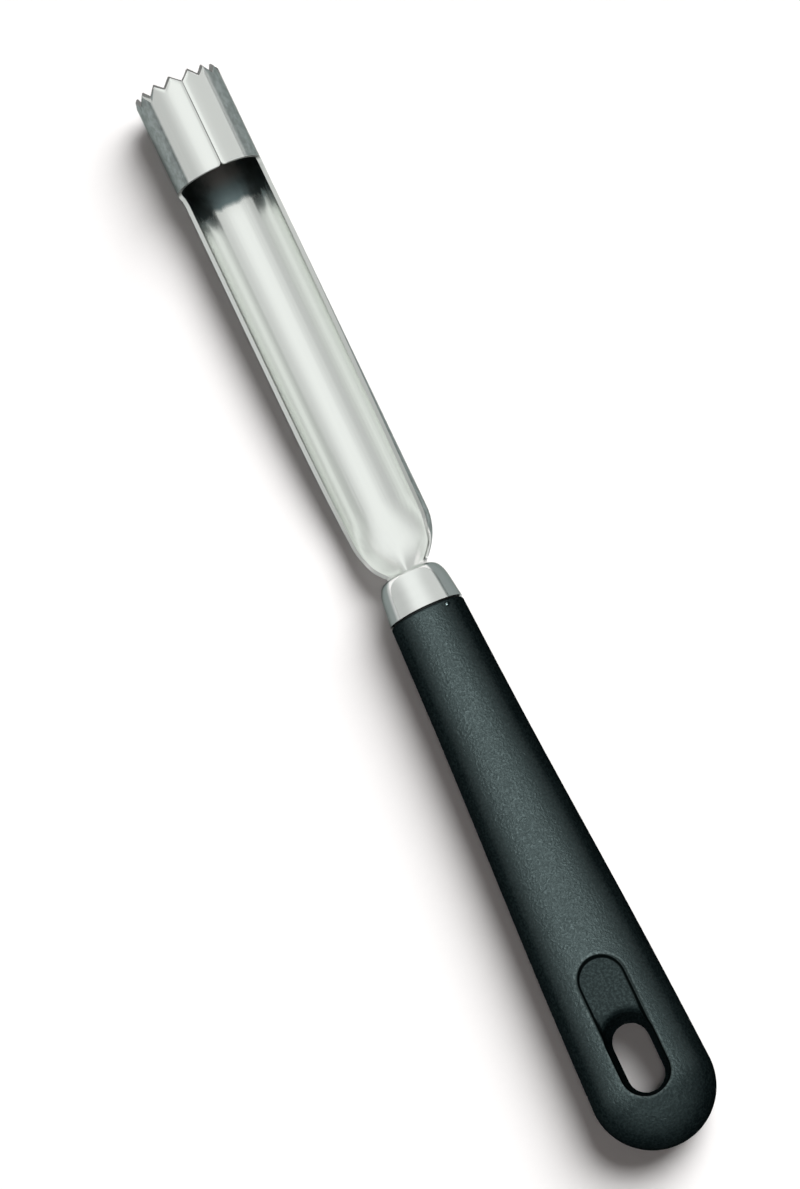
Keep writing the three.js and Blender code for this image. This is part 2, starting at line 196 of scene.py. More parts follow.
def middle_of_sheet(angle, y):
    """A circle or ellipse about the axis, blended in height towards a V with a softened crease. Below the
    ring its left side is pressed in by a share that grows with the square of the angle's sine."""
    drawn = np.clip((SHOULDER_START - y) / SHOULDER_LENGTH, 0, 1) ** SHOULDER_ROUNDNESS
    half_width = lerp(SHEET_RADIUS, NECK_HALF_WIDTH, drawn)
    depth = floor_depth(y)
    sideways = np.sin(angle)
    pressed = LEFT_SQUEEZE * smoothstep(RING_EDGE - y, 0, SQUEEZE_GROWTH) * (1 - drawn)
    half_width = half_width * (1 - pressed * np.minimum(sideways, 0) ** 2)
    from_crease = np.hypot(sideways, CREASE_SOFTNESS) - CREASE_SOFTNESS
    height = lerp(-depth * np.cos(angle), -depth + NECK_DEPTH * from_crease, creasing(y))
    return np.stack([half_width * sideways, y, AXIS_Z + height], axis=-1)


print(f"neck {NECK_WIDTH} mm wide, its floor {floor_depth(NECK_START):.2f} mm under the axis")

# %% The two skins of the sheet


def skin_of_sheet(angle, y, offset, scale):
    """The middle of the sheet, scaled about its crease, plus offset times the unit normal.

    The normal is the cross product of two differences of the surface. The one round the axis looks
    towards the lowest line only, because the V turns back on itself at its rims."""
    step = 1e-3
    on_right = middle_of_sheet(angle + step * (angle <= 0), y)
    on_left = middle_of_sheet(angle - step * (angle >= 0), y)
    along = middle_of_sheet(angle, y - step) - middle_of_sheet(angle, y + step)
    normal = np.cross(on_right - on_left, along)
    normal /= np.linalg.norm(normal, axis=-1, keepdims=True)
    crease = np.stack([0 * y, y, AXIS_Z - floor_depth(y)], axis=-1)
    middle = crease + (middle_of_sheet(angle, y) - crease) * scale[..., None]
    return middle + normal * offset[..., None]


# %% [markdown]
# ## Columns and rows of the blank
# Columns run round the ring from one edge of the open seam to the other, and the trough keeps only those
# between its two rims. At the teeth the columns are evenly spaced, so that every tooth gets the same
# number. Lower down they slide until one lies exactly on each rim. The rows follow the teeth at the tip
# and stand closer wherever the sheet bends. The corners of the seam and of the window are rounded.

# %% Columns round the ring
TOOTH_COUNT = 15
COLUMNS_PER_TOOTH = 16
SEAM_GAP = 0.12
SEAM_TURN = 9.6
WINDOW_FILLET = 1.3
LEFT_WING, LEFT_WING_END = 90, 66
RIGHT_WING, RIGHT_WING_END = 92, 116
COLUMNS = TOOTH_COUNT * COLUMNS_PER_TOOTH
SEAM_LEFT, SEAM_RIGHT = np.radians([-180 - SEAM_TURN, 180 - SEAM_TURN])


def wing_angle(y, side):
    """Angle of a rim. The left rim falls by a cube and the right one rises evenly towards the neck, both
    come upright at the crease, and a quarter-circle fillet widens them where the window meets the ring."""
    from_ring = np.maximum(RING_EDGE - y, 0)
    in_fillet = np.maximum(WINDOW_FILLET - from_ring, 0)
    fillet = WINDOW_FILLET - np.sqrt(WINDOW_FILLET**2 - in_fillet**2)
    along = np.clip(from_ring / (RING_EDGE - SHOULDER_START), 0, 1)
    left = lerp(LEFT_WING, LEFT_WING_END, along**3)
    right = lerp(RIGHT_WING, RIGHT_WING_END, along)
    wing = lerp(np.where(side < 0, left, right), 90, creasing(y) ** 2)
    return np.radians(wing) + fillet / SHEET_RADIUS


rim_angles = [-wing_angle(RING_EDGE, -1), 0.0, wing_angle(RING_EDGE, 1)]
rim_columns = [round(COLUMNS * (a - SEAM_LEFT) / (SEAM_RIGHT - SEAM_LEFT)) for a in rim_angles]
column = np.arange(COLUMNS + 1)
stations = [0, *rim_columns, COLUMNS]
angle_at_teeth = lerp(SEAM_LEFT, SEAM_RIGHT, column / COLUMNS)
angle_at_window = np.interp(column, stations, [SEAM_LEFT, *rim_angles, SEAM_RIGHT])
seam_pull = np.interp(column, stations, [1, 0, 0, 0, -1])
print("columns", COLUMNS, "of which the trough keeps", rim_columns[0], "to", rim_columns[2])

# %% Rows from the teeth to the end of the tang
TOOTH_HEIGHT = 1.7
VALLEY_ROUNDNESS = 0.06
GRIND_LENGTH = 0.56
GRIND_DEPTH = 0.45
SEAM_CORNER = 0.7
SEAM_TOOTH_CORNER = 0.3
SEAM_ROLL = 0.6
SEAM_ROLL_DEPTH = 0.12
TANG_LENGTH = 60.1
TANG_NOTCH_DEPTH = 1.3
TANG_NOTCH_LENGTH = 6.0
TANG_NOTCH_FLANK = 0.8
TANG_NOTCH_COUNT = 3
GRIND_ROWS, RING_ROWS, CORNER_ROWS = 8, 20, 9
RING_ROWS_END, CORNER_START = 0.94, 0.95
FILLET_ROWS, TROUGH_ROWS, SHOULDER_ROWS, NECK_ROWS = 13, 48, 66, 14

near_teeth = np.linspace(0, GRIND_LENGTH, GRIND_ROWS)
down_the_ring = np.concatenate([
    np.linspace(0, RING_ROWS_END, RING_ROWS)[1:],
    np.linspace(CORNER_START, 1, CORNER_ROWS),
])
rise_start = NECK_START + FLOOR_RISE_LENGTH
notch_middles = -TANG_LENGTH * np.arange(1, TANG_NOTCH_COUNT + 1) / (TANG_NOTCH_COUNT + 1)
notch_steps = np.array([1, -1]) * TANG_NOTCH_LENGTH / 2
notch_flanks = np.array([1, -1]) * TANG_NOTCH_FLANK / 2
notch_rows = notch_middles[:, None, None] + notch_steps[:, None] + notch_flanks
below_ring = np.concatenate([
    RING_EDGE - WINDOW_FILLET * np.linspace(0, 1, FILLET_ROWS)[1:] ** 2,
    np.linspace(RING_EDGE - WINDOW_FILLET, rise_start, TROUGH_ROWS)[1:],
    np.linspace(rise_start, NECK_START, SHOULDER_ROWS)[1:],
    np.linspace(NECK_START, 0, NECK_ROWS)[1:],
    np.sort(np.concatenate([notch_rows.ravel(), [-TANG_LENGTH]]))[::-1],
])
print(len(near_teeth) + len(down_the_ring), "rows in the ring and", len(below_ring), "below it")

# %% [markdown]
# ## Bending the blank
# Four arrays of the same size say for every grid point which angle it has, how far along it lies, how much
# the notches of the tang draw it in, and how much metal its outer side has lost. The teeth are
# straight-sided Vs with a valley on the seam, and their outer side is ground to an edge, which is what
# makes such a ring cut. Along the seam the outer skin rolls in a little, as a pressed edge does, and that
# catches a bright line. Points that no face uses are left out.

# %% Angle, place and metal of every grid point
phase = 2 * column / COLUMNS_PER_TOOTH
from_valley = 1 - np.abs(phase % 2 - 1)
toothed_end = TIP - TOOTH_HEIGHT + TOOTH_HEIGHT * np.hypot(from_valley, VALLEY_ROUNDNESS)
toothed_end = np.minimum(toothed_end, TIP)

ring_end = toothed_end - GRIND_LENGTH
ring_y = np.concatenate([
    toothed_end - near_teeth[:, None],
    lerp(ring_end, RING_EDGE, down_the_ring[:, None]),
])
from_edge = np.concatenate([near_teeth, GRIND_LENGTH + down_the_ring * (ring_end[0] - RING_EDGE)])
to_window = np.clip((toothed_end - ring_y) / (toothed_end - RING_EDGE), 0, 1)


def corner_widening(distance, radius):
    """How much a seam with rounded corners widens at a distance from its end: a quarter circle."""
    inside = np.maximum(radius - distance, 0)
    return radius - np.sqrt(radius**2 - inside**2)


seam_half = SEAM_GAP / 2 + corner_widening(from_edge, SEAM_TOOTH_CORNER)
seam_half = seam_half + corner_widening(ring_y[:, 0] - RING_EDGE, SEAM_CORNER)
ring_angle = lerp(angle_at_teeth, angle_at_window, to_window)
ring_angle = ring_angle + seam_pull * (seam_half / SHEET_RADIUS)[:, None]

trough_y = np.repeat(below_ring[:, None], COLUMNS + 1, axis=1)
across = angle_at_window / wing_angle(RING_EDGE, angle_at_window)
trough_angle = across * wing_angle(trough_y, angle_at_window)
nearest_notch = np.abs(trough_y[..., None] - notch_middles).min(axis=-1)
in_notch = (nearest_notch < TANG_NOTCH_LENGTH / 2) & (trough_y < 0)

sheet_angle = np.concatenate([ring_angle, trough_angle])
sheet_y = np.concatenate([ring_y, trough_y])
sheet_scale = np.ones_like(sheet_y)
sheet_scale[len(ring_y):][in_notch] = 1 - TANG_NOTCH_DEPTH / NECK_HALF_WIDTH
ground_away = np.zeros_like(sheet_y)
ground_away[:len(ring_y)] = (GRIND_DEPTH * np.clip(1 - from_edge / GRIND_LENGTH, 0, 1))[:, None]
from_seam = SHEET_RADIUS * np.minimum(ring_angle - ring_angle[:, :1], ring_angle[:, -1:] - ring_angle)
seam_roll = SEAM_ROLL_DEPTH * np.clip(1 - from_seam / SEAM_ROLL, 0, 1) ** 2
ground_away[:len(ring_y)] = np.maximum(ground_away[:len(ring_y)], seam_roll)
outer_skin = skin_of_sheet(sheet_angle, sheet_y, SHEET / 2 - ROUND_INSET - ground_away, sheet_scale)
inner_skin = skin_of_sheet(sheet_angle, sheet_y, np.full_like(sheet_y, -SHEET / 2), sheet_scale)
print("grid of the sheet:", sheet_y.shape)

# %% Closing two skins to a sheet


def closed_sheet(outer, inner, metal):
    """Two skins over the cells that are metal, and a wall wherever a metal cell has no metal neighbour."""
    rows, columns = outer.shape[:2]
    number = np.arange(rows * columns).reshape(rows, columns)
    loop = np.stack([number[:-1, :-1], number[:-1, 1:], number[1:, 1:], number[1:, :-1]], axis=-1)
    padded = np.pad(metal, 1)
    beyond = [padded[:-2, 1:-1], padded[1:-1, 2:], padded[2:, 1:-1], padded[1:-1, :-2]]
    skin = rows * columns
    faces = [loop[metal], loop[metal][:, ::-1] + skin]
    for edge, neighbour in enumerate(beyond):
        free = loop[metal & ~neighbour]
        first, second = free[:, edge], free[:, (edge + 1) % 4]
        faces.append(np.stack([second, first, first + skin, second + skin], axis=-1))
    faces = np.concatenate(faces)
    used, renumbered = np.unique(faces, return_inverse=True)
    points = np.concatenate([outer.reshape(-1, 3), inner.reshape(-1, 3)])[used]
    return points, renumbered.reshape(-1, 4), used


# %% The blade with its rounded rims
RIM_RADIUS, RIM_SEGMENTS = 0.32, 4
SHEARED_EDGE_RADIUS, SHEARED_EDGE_SEGMENTS = 0.1, 2
is_metal = np.ones((len(sheet_y) - 1, COLUMNS), bool)
is_metal[len(ring_y) - 1:, :rim_columns[0]] = False
is_metal[len(ring_y) - 1:, rim_columns[2]:] = False
blade_points, blade_faces, grid_number = closed_sheet(outer_skin, inner_skin, is_metal)
blade = make_piece("blade", blade_points, blade_faces)

is_inner, grid_place = np.divmod(grid_number, sheet_y.size)
grid_row, grid_column = np.divmod(grid_place, COLUMNS + 1)
on_rim = (grid_row >= len(ring_y) - 1) & np.isin(grid_column, [rim_columns[0], rim_columns[2]])
on_rim &= blade_points[:, 1] > 0
ends = np.empty(2 * len(blade.data.edges), np.int32)
blade.data.edges.foreach_get("vertices", ends)
first, second = ends.reshape(-1, 2).T
is_rim_edge = on_rim[first] & on_rim[second] & (is_inner[first] == is_inner[second])
rim_weight = blade.data.attributes.new("bevel_weight_edge", "FLOAT", "EDGE")
rim_weight.data.foreach_set("value", is_rim_edge.astype(np.float32))
round_edges(blade, RIM_RADIUS, RIM_SEGMENTS, "WEIGHT")
round_edges(blade, SHEARED_EDGE_RADIUS, SHEARED_EDGE_SEGMENTS)
merge_points(blade)
print("rounded rim edges:", is_rim_edge.sum())

# %% [markdown]
# ## The ferrule
# The ferrule is a cap drawn from thin sheet: a slightly tapered skirt, a domed shoulder and a round mouth
# for the neck. A screw modifier could turn its profile. Here the profile and its copy one wall further in
# make a closed loop, and one multiplication by cosines and sines carries it round the axis.

# %% The ferrule's profile, turned round the axis
FERRULE_STEP = 0.05
FERRULE_RADIUS = HANDLE_FRONT_WIDTH / 2 + FERRULE_STEP
FERRULE_TAPER = 0.5
FERRULE_SHOULDER = 4.2
FERRULE_WALL = 0.6
FERRULE_SEGMENTS = 144
SKIRT_ROWS, DOME_ROWS = 9, 28
FERRULE_RIM_RADIUS, FERRULE_RIM_SEGMENTS = 0.25, 4
NECK_OPENING = math.hypot(NECK_WIDTH / 2, NECK_RIM_HEIGHT + SHEET / 2) + FIT_GAP


def ferrule_profile(inset):
    """Radius and y from the rear rim: a straight taper, then a parabola with its control point at the
    corner where the taper would meet the front. An inset moves each point along its own normal."""
    shoulder_y = FERRULE_LENGTH - FERRULE_SHOULDER
    shoulder = np.array([FERRULE_RADIUS - FERRULE_TAPER, shoulder_y])
    corner = np.array([FERRULE_RADIUS - FERRULE_TAPER / shoulder_y * FERRULE_LENGTH, FERRULE_LENGTH])
    lip = np.array([NECK_OPENING, FERRULE_LENGTH])
    part = np.linspace(0, 1, DOME_ROWS)[:, None]
    dome = (1 - part) ** 2 * shoulder + 2 * part * (1 - part) * corner + part**2 * lip
    tangent = (1 - part) * (corner - shoulder) + part * (lip - corner)
    tangent /= np.linalg.norm(tangent, axis=1, keepdims=True)
    moved = dome + inset * np.stack([-tangent[:, 1], tangent[:, 0]], axis=-1)
    up_the_skirt = np.linspace(0, 1, SKIRT_ROWS)[:-1, None]
    skirt = lerp(np.array([FERRULE_RADIUS - inset, 0]), moved[0], up_the_skirt)
    return np.concatenate([skirt, moved])


def turned(profile, segments):
    """Each point of a profile (radius, y) carried round the axis: x = r cos t, z = axis + r sin t."""
    turn = np.linspace(0, 2 * np.pi, segments, endpoint=False)
    radius, y = profile[:, :1], profile[:, 1:]
    return np.stack([radius * np.cos(turn), y + 0 * turn, AXIS_Z + radius * np.sin(turn)], axis=-1)


wall_loop = np.concatenate([ferrule_profile(0)[::-1], ferrule_profile(FERRULE_WALL)])
cap = turned(wall_loop, FERRULE_SEGMENTS)
cap_rings = np.arange(cap.shape[0] * cap.shape[1]).reshape(cap.shape[:2])
cap_faces = strip_faces(np.concatenate([cap_rings, cap_rings[:1]]))
ferrule = make_piece("ferrule_cap", cap.reshape(-1, 3), cap_faces)
round_edges(ferrule, FERRULE_RIM_RADIUS, FERRULE_RIM_SEGMENTS)
merge_points(ferrule)

# %% [markdown]
# ## The handle's skin
# The handle is moulded: round at the front, wider and fuller towards its half-round end, and flat on its
# belly where it lies. Its skin is a height over or under the axis, given by a superellipse whose exponent
# grows along the handle. Rings of such points are joined from the socket for the core, out through the
# front face, over the skin and down to a pole at the butt. Close to the ferrule stands a tiny flat stub,
# the mark of the gate where the plastic ran in. Within its radius the height is blended to one level.

# %% Formula of the skin
BUTT = -HANDLE_LENGTH
BUTT_RADIUS = HANDLE_WIDTH / 2
BUTT_CENTRE = BUTT + BUTT_RADIUS
HANDLE_EASE = 0.035
HANDLE_FULLNESS = 2.4
BELLY_FLAT_WIDTH = 11.0
BELLY_SOFTNESS = 0.25
BELLY_REACH = BELLY_FLAT_WIDTH / HANDLE_WIDTH
BELLY_FULL = AXIS_Z / (1 - BELLY_REACH**HANDLE_FULLNESS) ** (1 / HANDLE_FULLNESS)


def soft_min(a, b, softness):
    """The smaller of two heights. Where they differ by less than softness, a parabola rounds the edge."""
    near = np.maximum(softness - np.abs(a - b), 0) / softness
    return np.minimum(a, b) - near * near * softness / 4


def spread(y):
    """How far the handle has widened: 0 at the front, 1 where the round end begins, with a slow wave."""
    along = np.clip(y / BUTT_CENTRE, 0, 1)
    return along - HANDLE_EASE * np.sin(2 * np.pi * along)


def outline(y):
    """Half-width of the handle before its round end."""
    return lerp(HANDLE_FRONT_WIDTH, HANDLE_WIDTH, spread(y)) / 2


def skin_height(x, y, is_top):
    """Height over the axis, or depth under it: full (1 - reach^n)^(1/n), where reach is 0 on the middle
    line and 1 on the outline. The belly is cut off softly by the table."""
    widened = spread(y)
    past_centre = np.clip((BUTT_CENTRE - y) / BUTT_RADIUS, 0, 1)
    reach = np.minimum(np.hypot(x / outline(y), past_centre), 1)
    fullness = lerp(2, HANDLE_FULLNESS, widened)
    full = lerp(HANDLE_FRONT_WIDTH / 2, np.where(is_top, AXIS_Z - ROUND_INSET, BELLY_FULL), widened)
    height = full * (1 - reach**fullness) ** (1 / fullness)
    return np.where(is_top, height, soft_min(height, AXIS_Z, BELLY_SOFTNESS))


print("handle", 2 * outline(0), "mm wide in front and", 2 * outline(BUTT_CENTRE), "mm at the end")

# %% Rings of the socket
HANDLE_COLUMNS = 176
SOCKET_WALL = 1.35
SOCKET_RADIUS = HANDLE_FRONT_WIDTH / 2 - SOCKET_WALL
CORE_LENGTH = 68.1
CORE_GROOVE_COUNT = 4
CORE_GROOVE_DEPTH = 0.8
CORE_GROOVE_WIDTH = 5.0

groove = -CORE_LENGTH * np.arange(CORE_GROOVE_COUNT, 0, -1) / (CORE_GROOVE_COUNT + 1)
half_groove = CORE_GROOVE_WIDTH / 2 - FIT_GAP + np.array([1, -1, -1, 1]) * CORE_GROOVE_DEPTH / 2
ridge_y = groove[:, None] + np.array([-1, -1, 1, 1]) * half_groove
ridge_radius = SOCKET_RADIUS - CORE_GROOVE_DEPTH * np.array([0, 1, 1, 0]) + 0 * ridge_y
front = -FIT_GAP
socket_end = -CORE_LENGTH - FIT_GAP
socket_y = np.concatenate([[socket_end], ridge_y.ravel(), [front]])
socket_radius = np.concatenate([[SOCKET_RADIUS], ridge_radius.ravel(), [SOCKET_RADIUS]])
socket = turned(np.stack([socket_radius, socket_y], axis=-1), HANDLE_COLUMNS)
print("socket", front - socket_end, "mm deep, with", CORE_GROOVE_COUNT, "ridges")

# %% Rings of the skin
EDGE_ROWS, GATE_ROWS, SHAFT_ROWS, END_ROWS = 8, 14, 165, 34
FRONT_EDGE_RADIUS = 0.5
GATE_MARK = (4.2, -1.3)
GATE_MARK_SIZE = 0.3
GATE_MARK_FOOT = 1.6
GATE_MARK_HEIGHT = 0.25

edge_turn = np.linspace(0, np.pi / 2, EDGE_ROWS)
edge_y = front - FRONT_EDGE_RADIUS * (1 - np.cos(edge_turn))
edge_inset = FRONT_EDGE_RADIUS * (1 - np.sin(edge_turn))
past_gate = np.linspace(edge_y[-1], GATE_MARK[1] - 2 * GATE_MARK_SIZE, GATE_ROWS)[1:]
shaft_y = np.concatenate([past_gate, np.linspace(past_gate[-1], BUTT_CENTRE, SHAFT_ROWS)[1:]])
end_y = BUTT_CENTRE - BUTT_RADIUS * np.sin(np.linspace(0, np.pi / 2, END_ROWS)[1:-1])
skin_y = np.concatenate([edge_y, shaft_y, end_y])[:, None]
inset = np.concatenate([edge_inset, np.zeros(len(shaft_y) + len(end_y))])[:, None]

turn = np.linspace(0, 2 * np.pi, HANDLE_COLUMNS, endpoint=False)
round_end = np.sqrt(1 - np.clip((BUTT_CENTRE - skin_y) / BUTT_RADIUS, 0, 1) ** 2)
skin_x = outline(skin_y) * round_end * np.cos(turn)
is_top = turn <= np.pi
height = skin_height(skin_x, skin_y, is_top) * np.where(is_top, 1, -1)
shrink = 1 - inset / outline(skin_y)
from_gate = np.hypot(skin_x - GATE_MARK[0], skin_y - GATE_MARK[1]) / GATE_MARK_SIZE
gate_height = skin_height(*np.array(GATE_MARK), True) + GATE_MARK_HEIGHT
height = lerp(height, gate_height, is_top * (1 - smoothstep(from_gate, 1, GATE_MARK_FOOT)))
skin = np.stack([skin_x * shrink, skin_y + 0 * turn, AXIS_Z + height * shrink], axis=-1)
shell = np.concatenate([socket, skin])
shell_number = np.arange(shell.shape[0] * HANDLE_COLUMNS).reshape(shell.shape[:2])
print("handle rings:", shell.shape[0], "of", HANDLE_COLUMNS, "points")

# %% [markdown]
# ## The recess and the hanging hole
# On top lies a long shallow recess with round ends, and its rear half drops through the handle as the hole
# to hang the tool by. A boolean cut would leave ragged triangles just where the eye goes. Instead a block
# of the skin's faces is left out above and below, and loops that follow the outlines lead from the upper
# block over the lip, down the wall to the waist of the hole, and out again on the belly.

# %% Formula of the recess and the hole
RECESS_LENGTH = 29.4
RECESS_WIDTH = 10.2
RECESS_DEPTH = 1.5
RECESS_WALL_SLOPE = 0.75
RECESS_FROM_BUTT = 10.0
RECESS_END = BUTT + RECESS_FROM_BUTT
RECESS_FRONT = RECESS_END + RECESS_LENGTH
HOLE_LENGTH = 16.9
HOLE_DRAFT = 1.4
HOLE_LIP = 2.6
SIDE_LIP = 0.25
LIP_SOFTNESS = 0.3
LIP_GROWTH = (0.2, 3.6)
LIP_SIDE_FADE = (0.1, 1.0)
RECESS_FLOOR = 2 * AXIS_Z - RECESS_DEPTH
HOLE_FRONT = RECESS_END + HOLE_LENGTH
HOLE_WAIST = (RECESS_WIDTH / 2 - HOLE_DRAFT, RECESS_END + HOLE_DRAFT, HOLE_FRONT - HOLE_DRAFT)


def outside_stadium(x, y, radius, low, high):
    """Distance from a stadium over x = 0: to its middle segment, less its radius. Inside is negative."""
    beyond_segment = y - np.clip(y, low + radius, high - radius)
    return np.hypot(x, beyond_segment) - radius


def top_of_handle(x, y):
    """The skin, cut softly by a bowl with sloping walls and a flat floor, and by the drafted wall of the
    hole. The lip of the hole is a quarter circle. It is tight along the sides and grows wider round the
    front end, where the hole meets the floor of the recess."""
    skin_z = AXIS_Z + skin_height(x, y, True)
    from_recess = outside_stadium(x, y, RECESS_WIDTH / 2, RECESS_END, RECESS_FRONT)
    wall = RECESS_FLOOR + RECESS_DEPTH / RECESS_WALL_SLOPE * (from_recess + RECESS_WALL_SLOPE)
    bowl = -soft_min(-wall, -RECESS_FLOOR + 0 * wall, LIP_SOFTNESS)
    recessed = soft_min(skin_z, bowl, LIP_SOFTNESS)
    from_waist = outside_stadium(x, y, *HOLE_WAIST)
    front_centre = HOLE_WAIST[2] - HOLE_WAIST[0]
    on_floor = smoothstep(y - front_centre, *LIP_GROWTH) * smoothstep(-from_recess, *LIP_SIDE_FADE)
    lip = lerp(SIDE_LIP, HOLE_LIP, on_floor)
    lip_z = lerp(2 * AXIS_Z + SIDE_LIP, RECESS_FLOOR, on_floor)
    from_wall = np.clip(from_waist - HOLE_DRAFT, 0, lip)
    wall_share = np.clip(from_waist / HOLE_DRAFT, 0, 1)
    hole = lerp(AXIS_Z, lip_z - lip, wall_share) + np.sqrt(lip**2 - (lip - from_wall) ** 2)
    hole = hole + np.maximum(from_waist - HOLE_DRAFT - lip, 0)
    return soft_min(recessed, hole, SIDE_LIP)


def belly_of_handle(x, y):
    """The skin under the axis, cut softly by the lower half of the hole."""
    from_waist = outside_stadium(x, y, *HOLE_WAIST)
    wall = AXIS_Z / HOLE_DRAFT * np.maximum(from_waist, 0)
    return AXIS_Z - soft_min(skin_height(x, y, False), wall, np.minimum(LIP_SOFTNESS, wall + 1e-6))


print("recess floor at", RECESS_FLOOR, "mm, hole waist", 2 * HOLE_WAIST[0], "mm wide")

# %% A stadium as a loop of points


def stadium_loop(share, radius, low, high):
    """Points at shares of a stadium's circumference, from its front end over the left side: a quarter
    circle, a straight, a half circle, a straight and a quarter circle."""
    quarter, straight = np.pi * radius / 2, high - low - 2 * radius
    run = share * (4 * quarter + 2 * straight)
    starts = np.cumsum([0, quarter, straight, 2 * quarter, straight])
    part = [run - s for s in starts]
    bend = [p / radius for p in part]
    cases = [run < s for s in starts[1:]]
    x = np.select(
        cases,
        [-radius * np.sin(bend[0]), -radius + 0 * run, -radius * np.cos(bend[2]), radius + 0 * run],
        radius * np.cos(bend[4]),
    )
    y = np.select(
        cases,
        [high - radius + radius * np.cos(bend[0]), high - radius - part[1],
         low + radius - radius * np.sin(bend[2]), low + radius + part[3]],
        high - radius + radius * np.sin(bend[4]),
    )
    return np.stack([x, y], axis=-1)


# %% The block of faces that is left out
BLOCK_HALF_WIDTH = 6.7
BLOCK_MARGIN = 1.8

first_skin_ring = len(socket)
block_rows = first_skin_ring + np.array([
    np.abs(skin_y[:, 0] - RECESS_FRONT - BLOCK_MARGIN).argmin(),
    np.abs(skin_y[:, 0] - RECESS_END + BLOCK_MARGIN).argmin(),
])
block_start = round(HANDLE_COLUMNS * math.acos(BLOCK_HALF_WIDTH / BUTT_RADIUS) / (2 * np.pi))
block_columns = np.array([block_start, HANDLE_COLUMNS // 2 - block_start])
row_run = np.arange(*block_rows)
column_run = np.arange(*block_columns)
loop_rows = np.concatenate([
    np.full(len(column_run), block_rows[0]), row_run,
    np.full(len(column_run), block_rows[1]), row_run[::-1] + 1,
])
loop_columns = np.concatenate([
    column_run, np.full(len(row_run), block_columns[1]),
    column_run[::-1] + 1, np.full(len(row_run), block_columns[0]),
])
top_block = shell_number[loop_rows, loop_columns]
belly_block = shell_number[loop_rows, -loop_columns]
block_xy = shell[loop_rows, loop_columns, :2]
block_sides = np.linalg.norm(np.roll(block_xy, -1, axis=0) - block_xy, axis=1)
block_run = np.concatenate([[0], np.cumsum(block_sides)[:-1]]) - block_xy[0, 0]
loop_share = (block_run / block_sides.sum()) % 1
print("block loop:", len(top_block), "points")

# %% Loops from the upper block through the hole to the belly
# Each loop is a stadium that is grown by a step in millimetres: steps outwards are positive, and they are
# closest where the surface bends most.
WAIST_STEPS = (0.1, 0.0)
ABOVE_WAIST = 0.2

recess_size = np.array([RECESS_WIDTH / 2, RECESS_END, RECESS_FRONT])
grow = np.array([1, -1, 1])
lip_steps = np.concatenate([[1.0, 0.7, 0.45], np.linspace(0.3, -0.7, 15), [-0.8, -0.95, -1.1]])
recess_loops = [stadium_loop(loop_share, *(recess_size + d * grow)) for d in lip_steps]
inner_size = recess_size + lip_steps[-1] * grow
waist_size = np.array(HOLE_WAIST)
over_floor = np.concatenate([np.linspace(0, 0.7, 8)[1:-1], np.linspace(0.7, 1, 19)])
above_waist = waist_size + ABOVE_WAIST * grow
floor_loops = [stadium_loop(loop_share, *lerp(inner_size, above_waist, s)) for s in over_floor]
waist_loops = [stadium_loop(loop_share, *(waist_size + d * grow)) for d in WAIST_STEPS]
belly_steps = np.concatenate([np.linspace(0.15, 1.05, 6), np.linspace(1.15, 1.75, 7), [2.1, 2.6]])
belly_loops = [stadium_loop(loop_share, *(waist_size + d * grow)) for d in belly_steps]


def between(outer, inner, count):
    """Loops that lead evenly from one loop to another, without the two ends."""
    return [lerp(outer, inner, s) for s in np.linspace(0, 1, count + 2)[1:-1]]


to_recess = between(block_xy, recess_loops[0], 2)
top_xy = np.array([*to_recess, *recess_loops, *floor_loops, *waist_loops])
belly_xy = np.array([*belly_loops, *between(belly_loops[-1], block_xy, 5)])
top_z = top_of_handle(top_xy[..., 0], top_xy[..., 1])
belly_z = belly_of_handle(belly_xy[..., 0], belly_xy[..., 1])
loops = np.concatenate([
    np.concatenate([top_xy, top_z[..., None]], axis=-1),
    np.concatenate([belly_xy, belly_z[..., None]], axis=-1),
])
print("loops over the lip, through the hole and on the belly:", len(loops))

# %% The finished handle
HANDLE_SHARP_ANGLE = 60

loop_number = shell.size // 3 + np.arange(loops.size // 3).reshape(loops.shape[:2])
poles = np.array([[0, socket_end, AXIS_Z], [0, BUTT, AXIS_Z]])
pole_number = shell.size // 3 + loops.size // 3

shell_faces = strip_faces(shell_number).reshape(shell.shape[0] - 1, HANDLE_COLUMNS, 4)
left_out = np.zeros(shell_faces.shape[:2], bool)
left_out[slice(*block_rows), slice(*block_columns)] = True
left_out[slice(*block_rows), slice(*(HANDLE_COLUMNS - block_columns[::-1]))] = True
handle = make_piece(
    "handle",
    np.concatenate([shell.reshape(-1, 3), loops.reshape(-1, 3), poles]),
    shell_faces[~left_out],
    strip_faces(np.concatenate([[top_block], loop_number, [belly_block]])),
    fan_faces(shell_number[0], pole_number)[:, ::-1],
    fan_faces(shell_number[-1], pole_number + 1),
    sharp_from=HANDLE_SHARP_ANGLE,
)

# %% [markdown]
# ## Writing shaders as sums
# A finish is a small calculation: a noise here, a mask there, added and multiplied. Node by node that is
# hard to read, so one class wraps a socket and lets Python's own operators add the Math nodes. Its `node`
# method makes any other node from its type, its settings and the values or links of its sockets. Shaders
# measure in the metres of the shared frame, and `drawing_axes` brings a place back to the drawing.

# %% A socket to calculate with


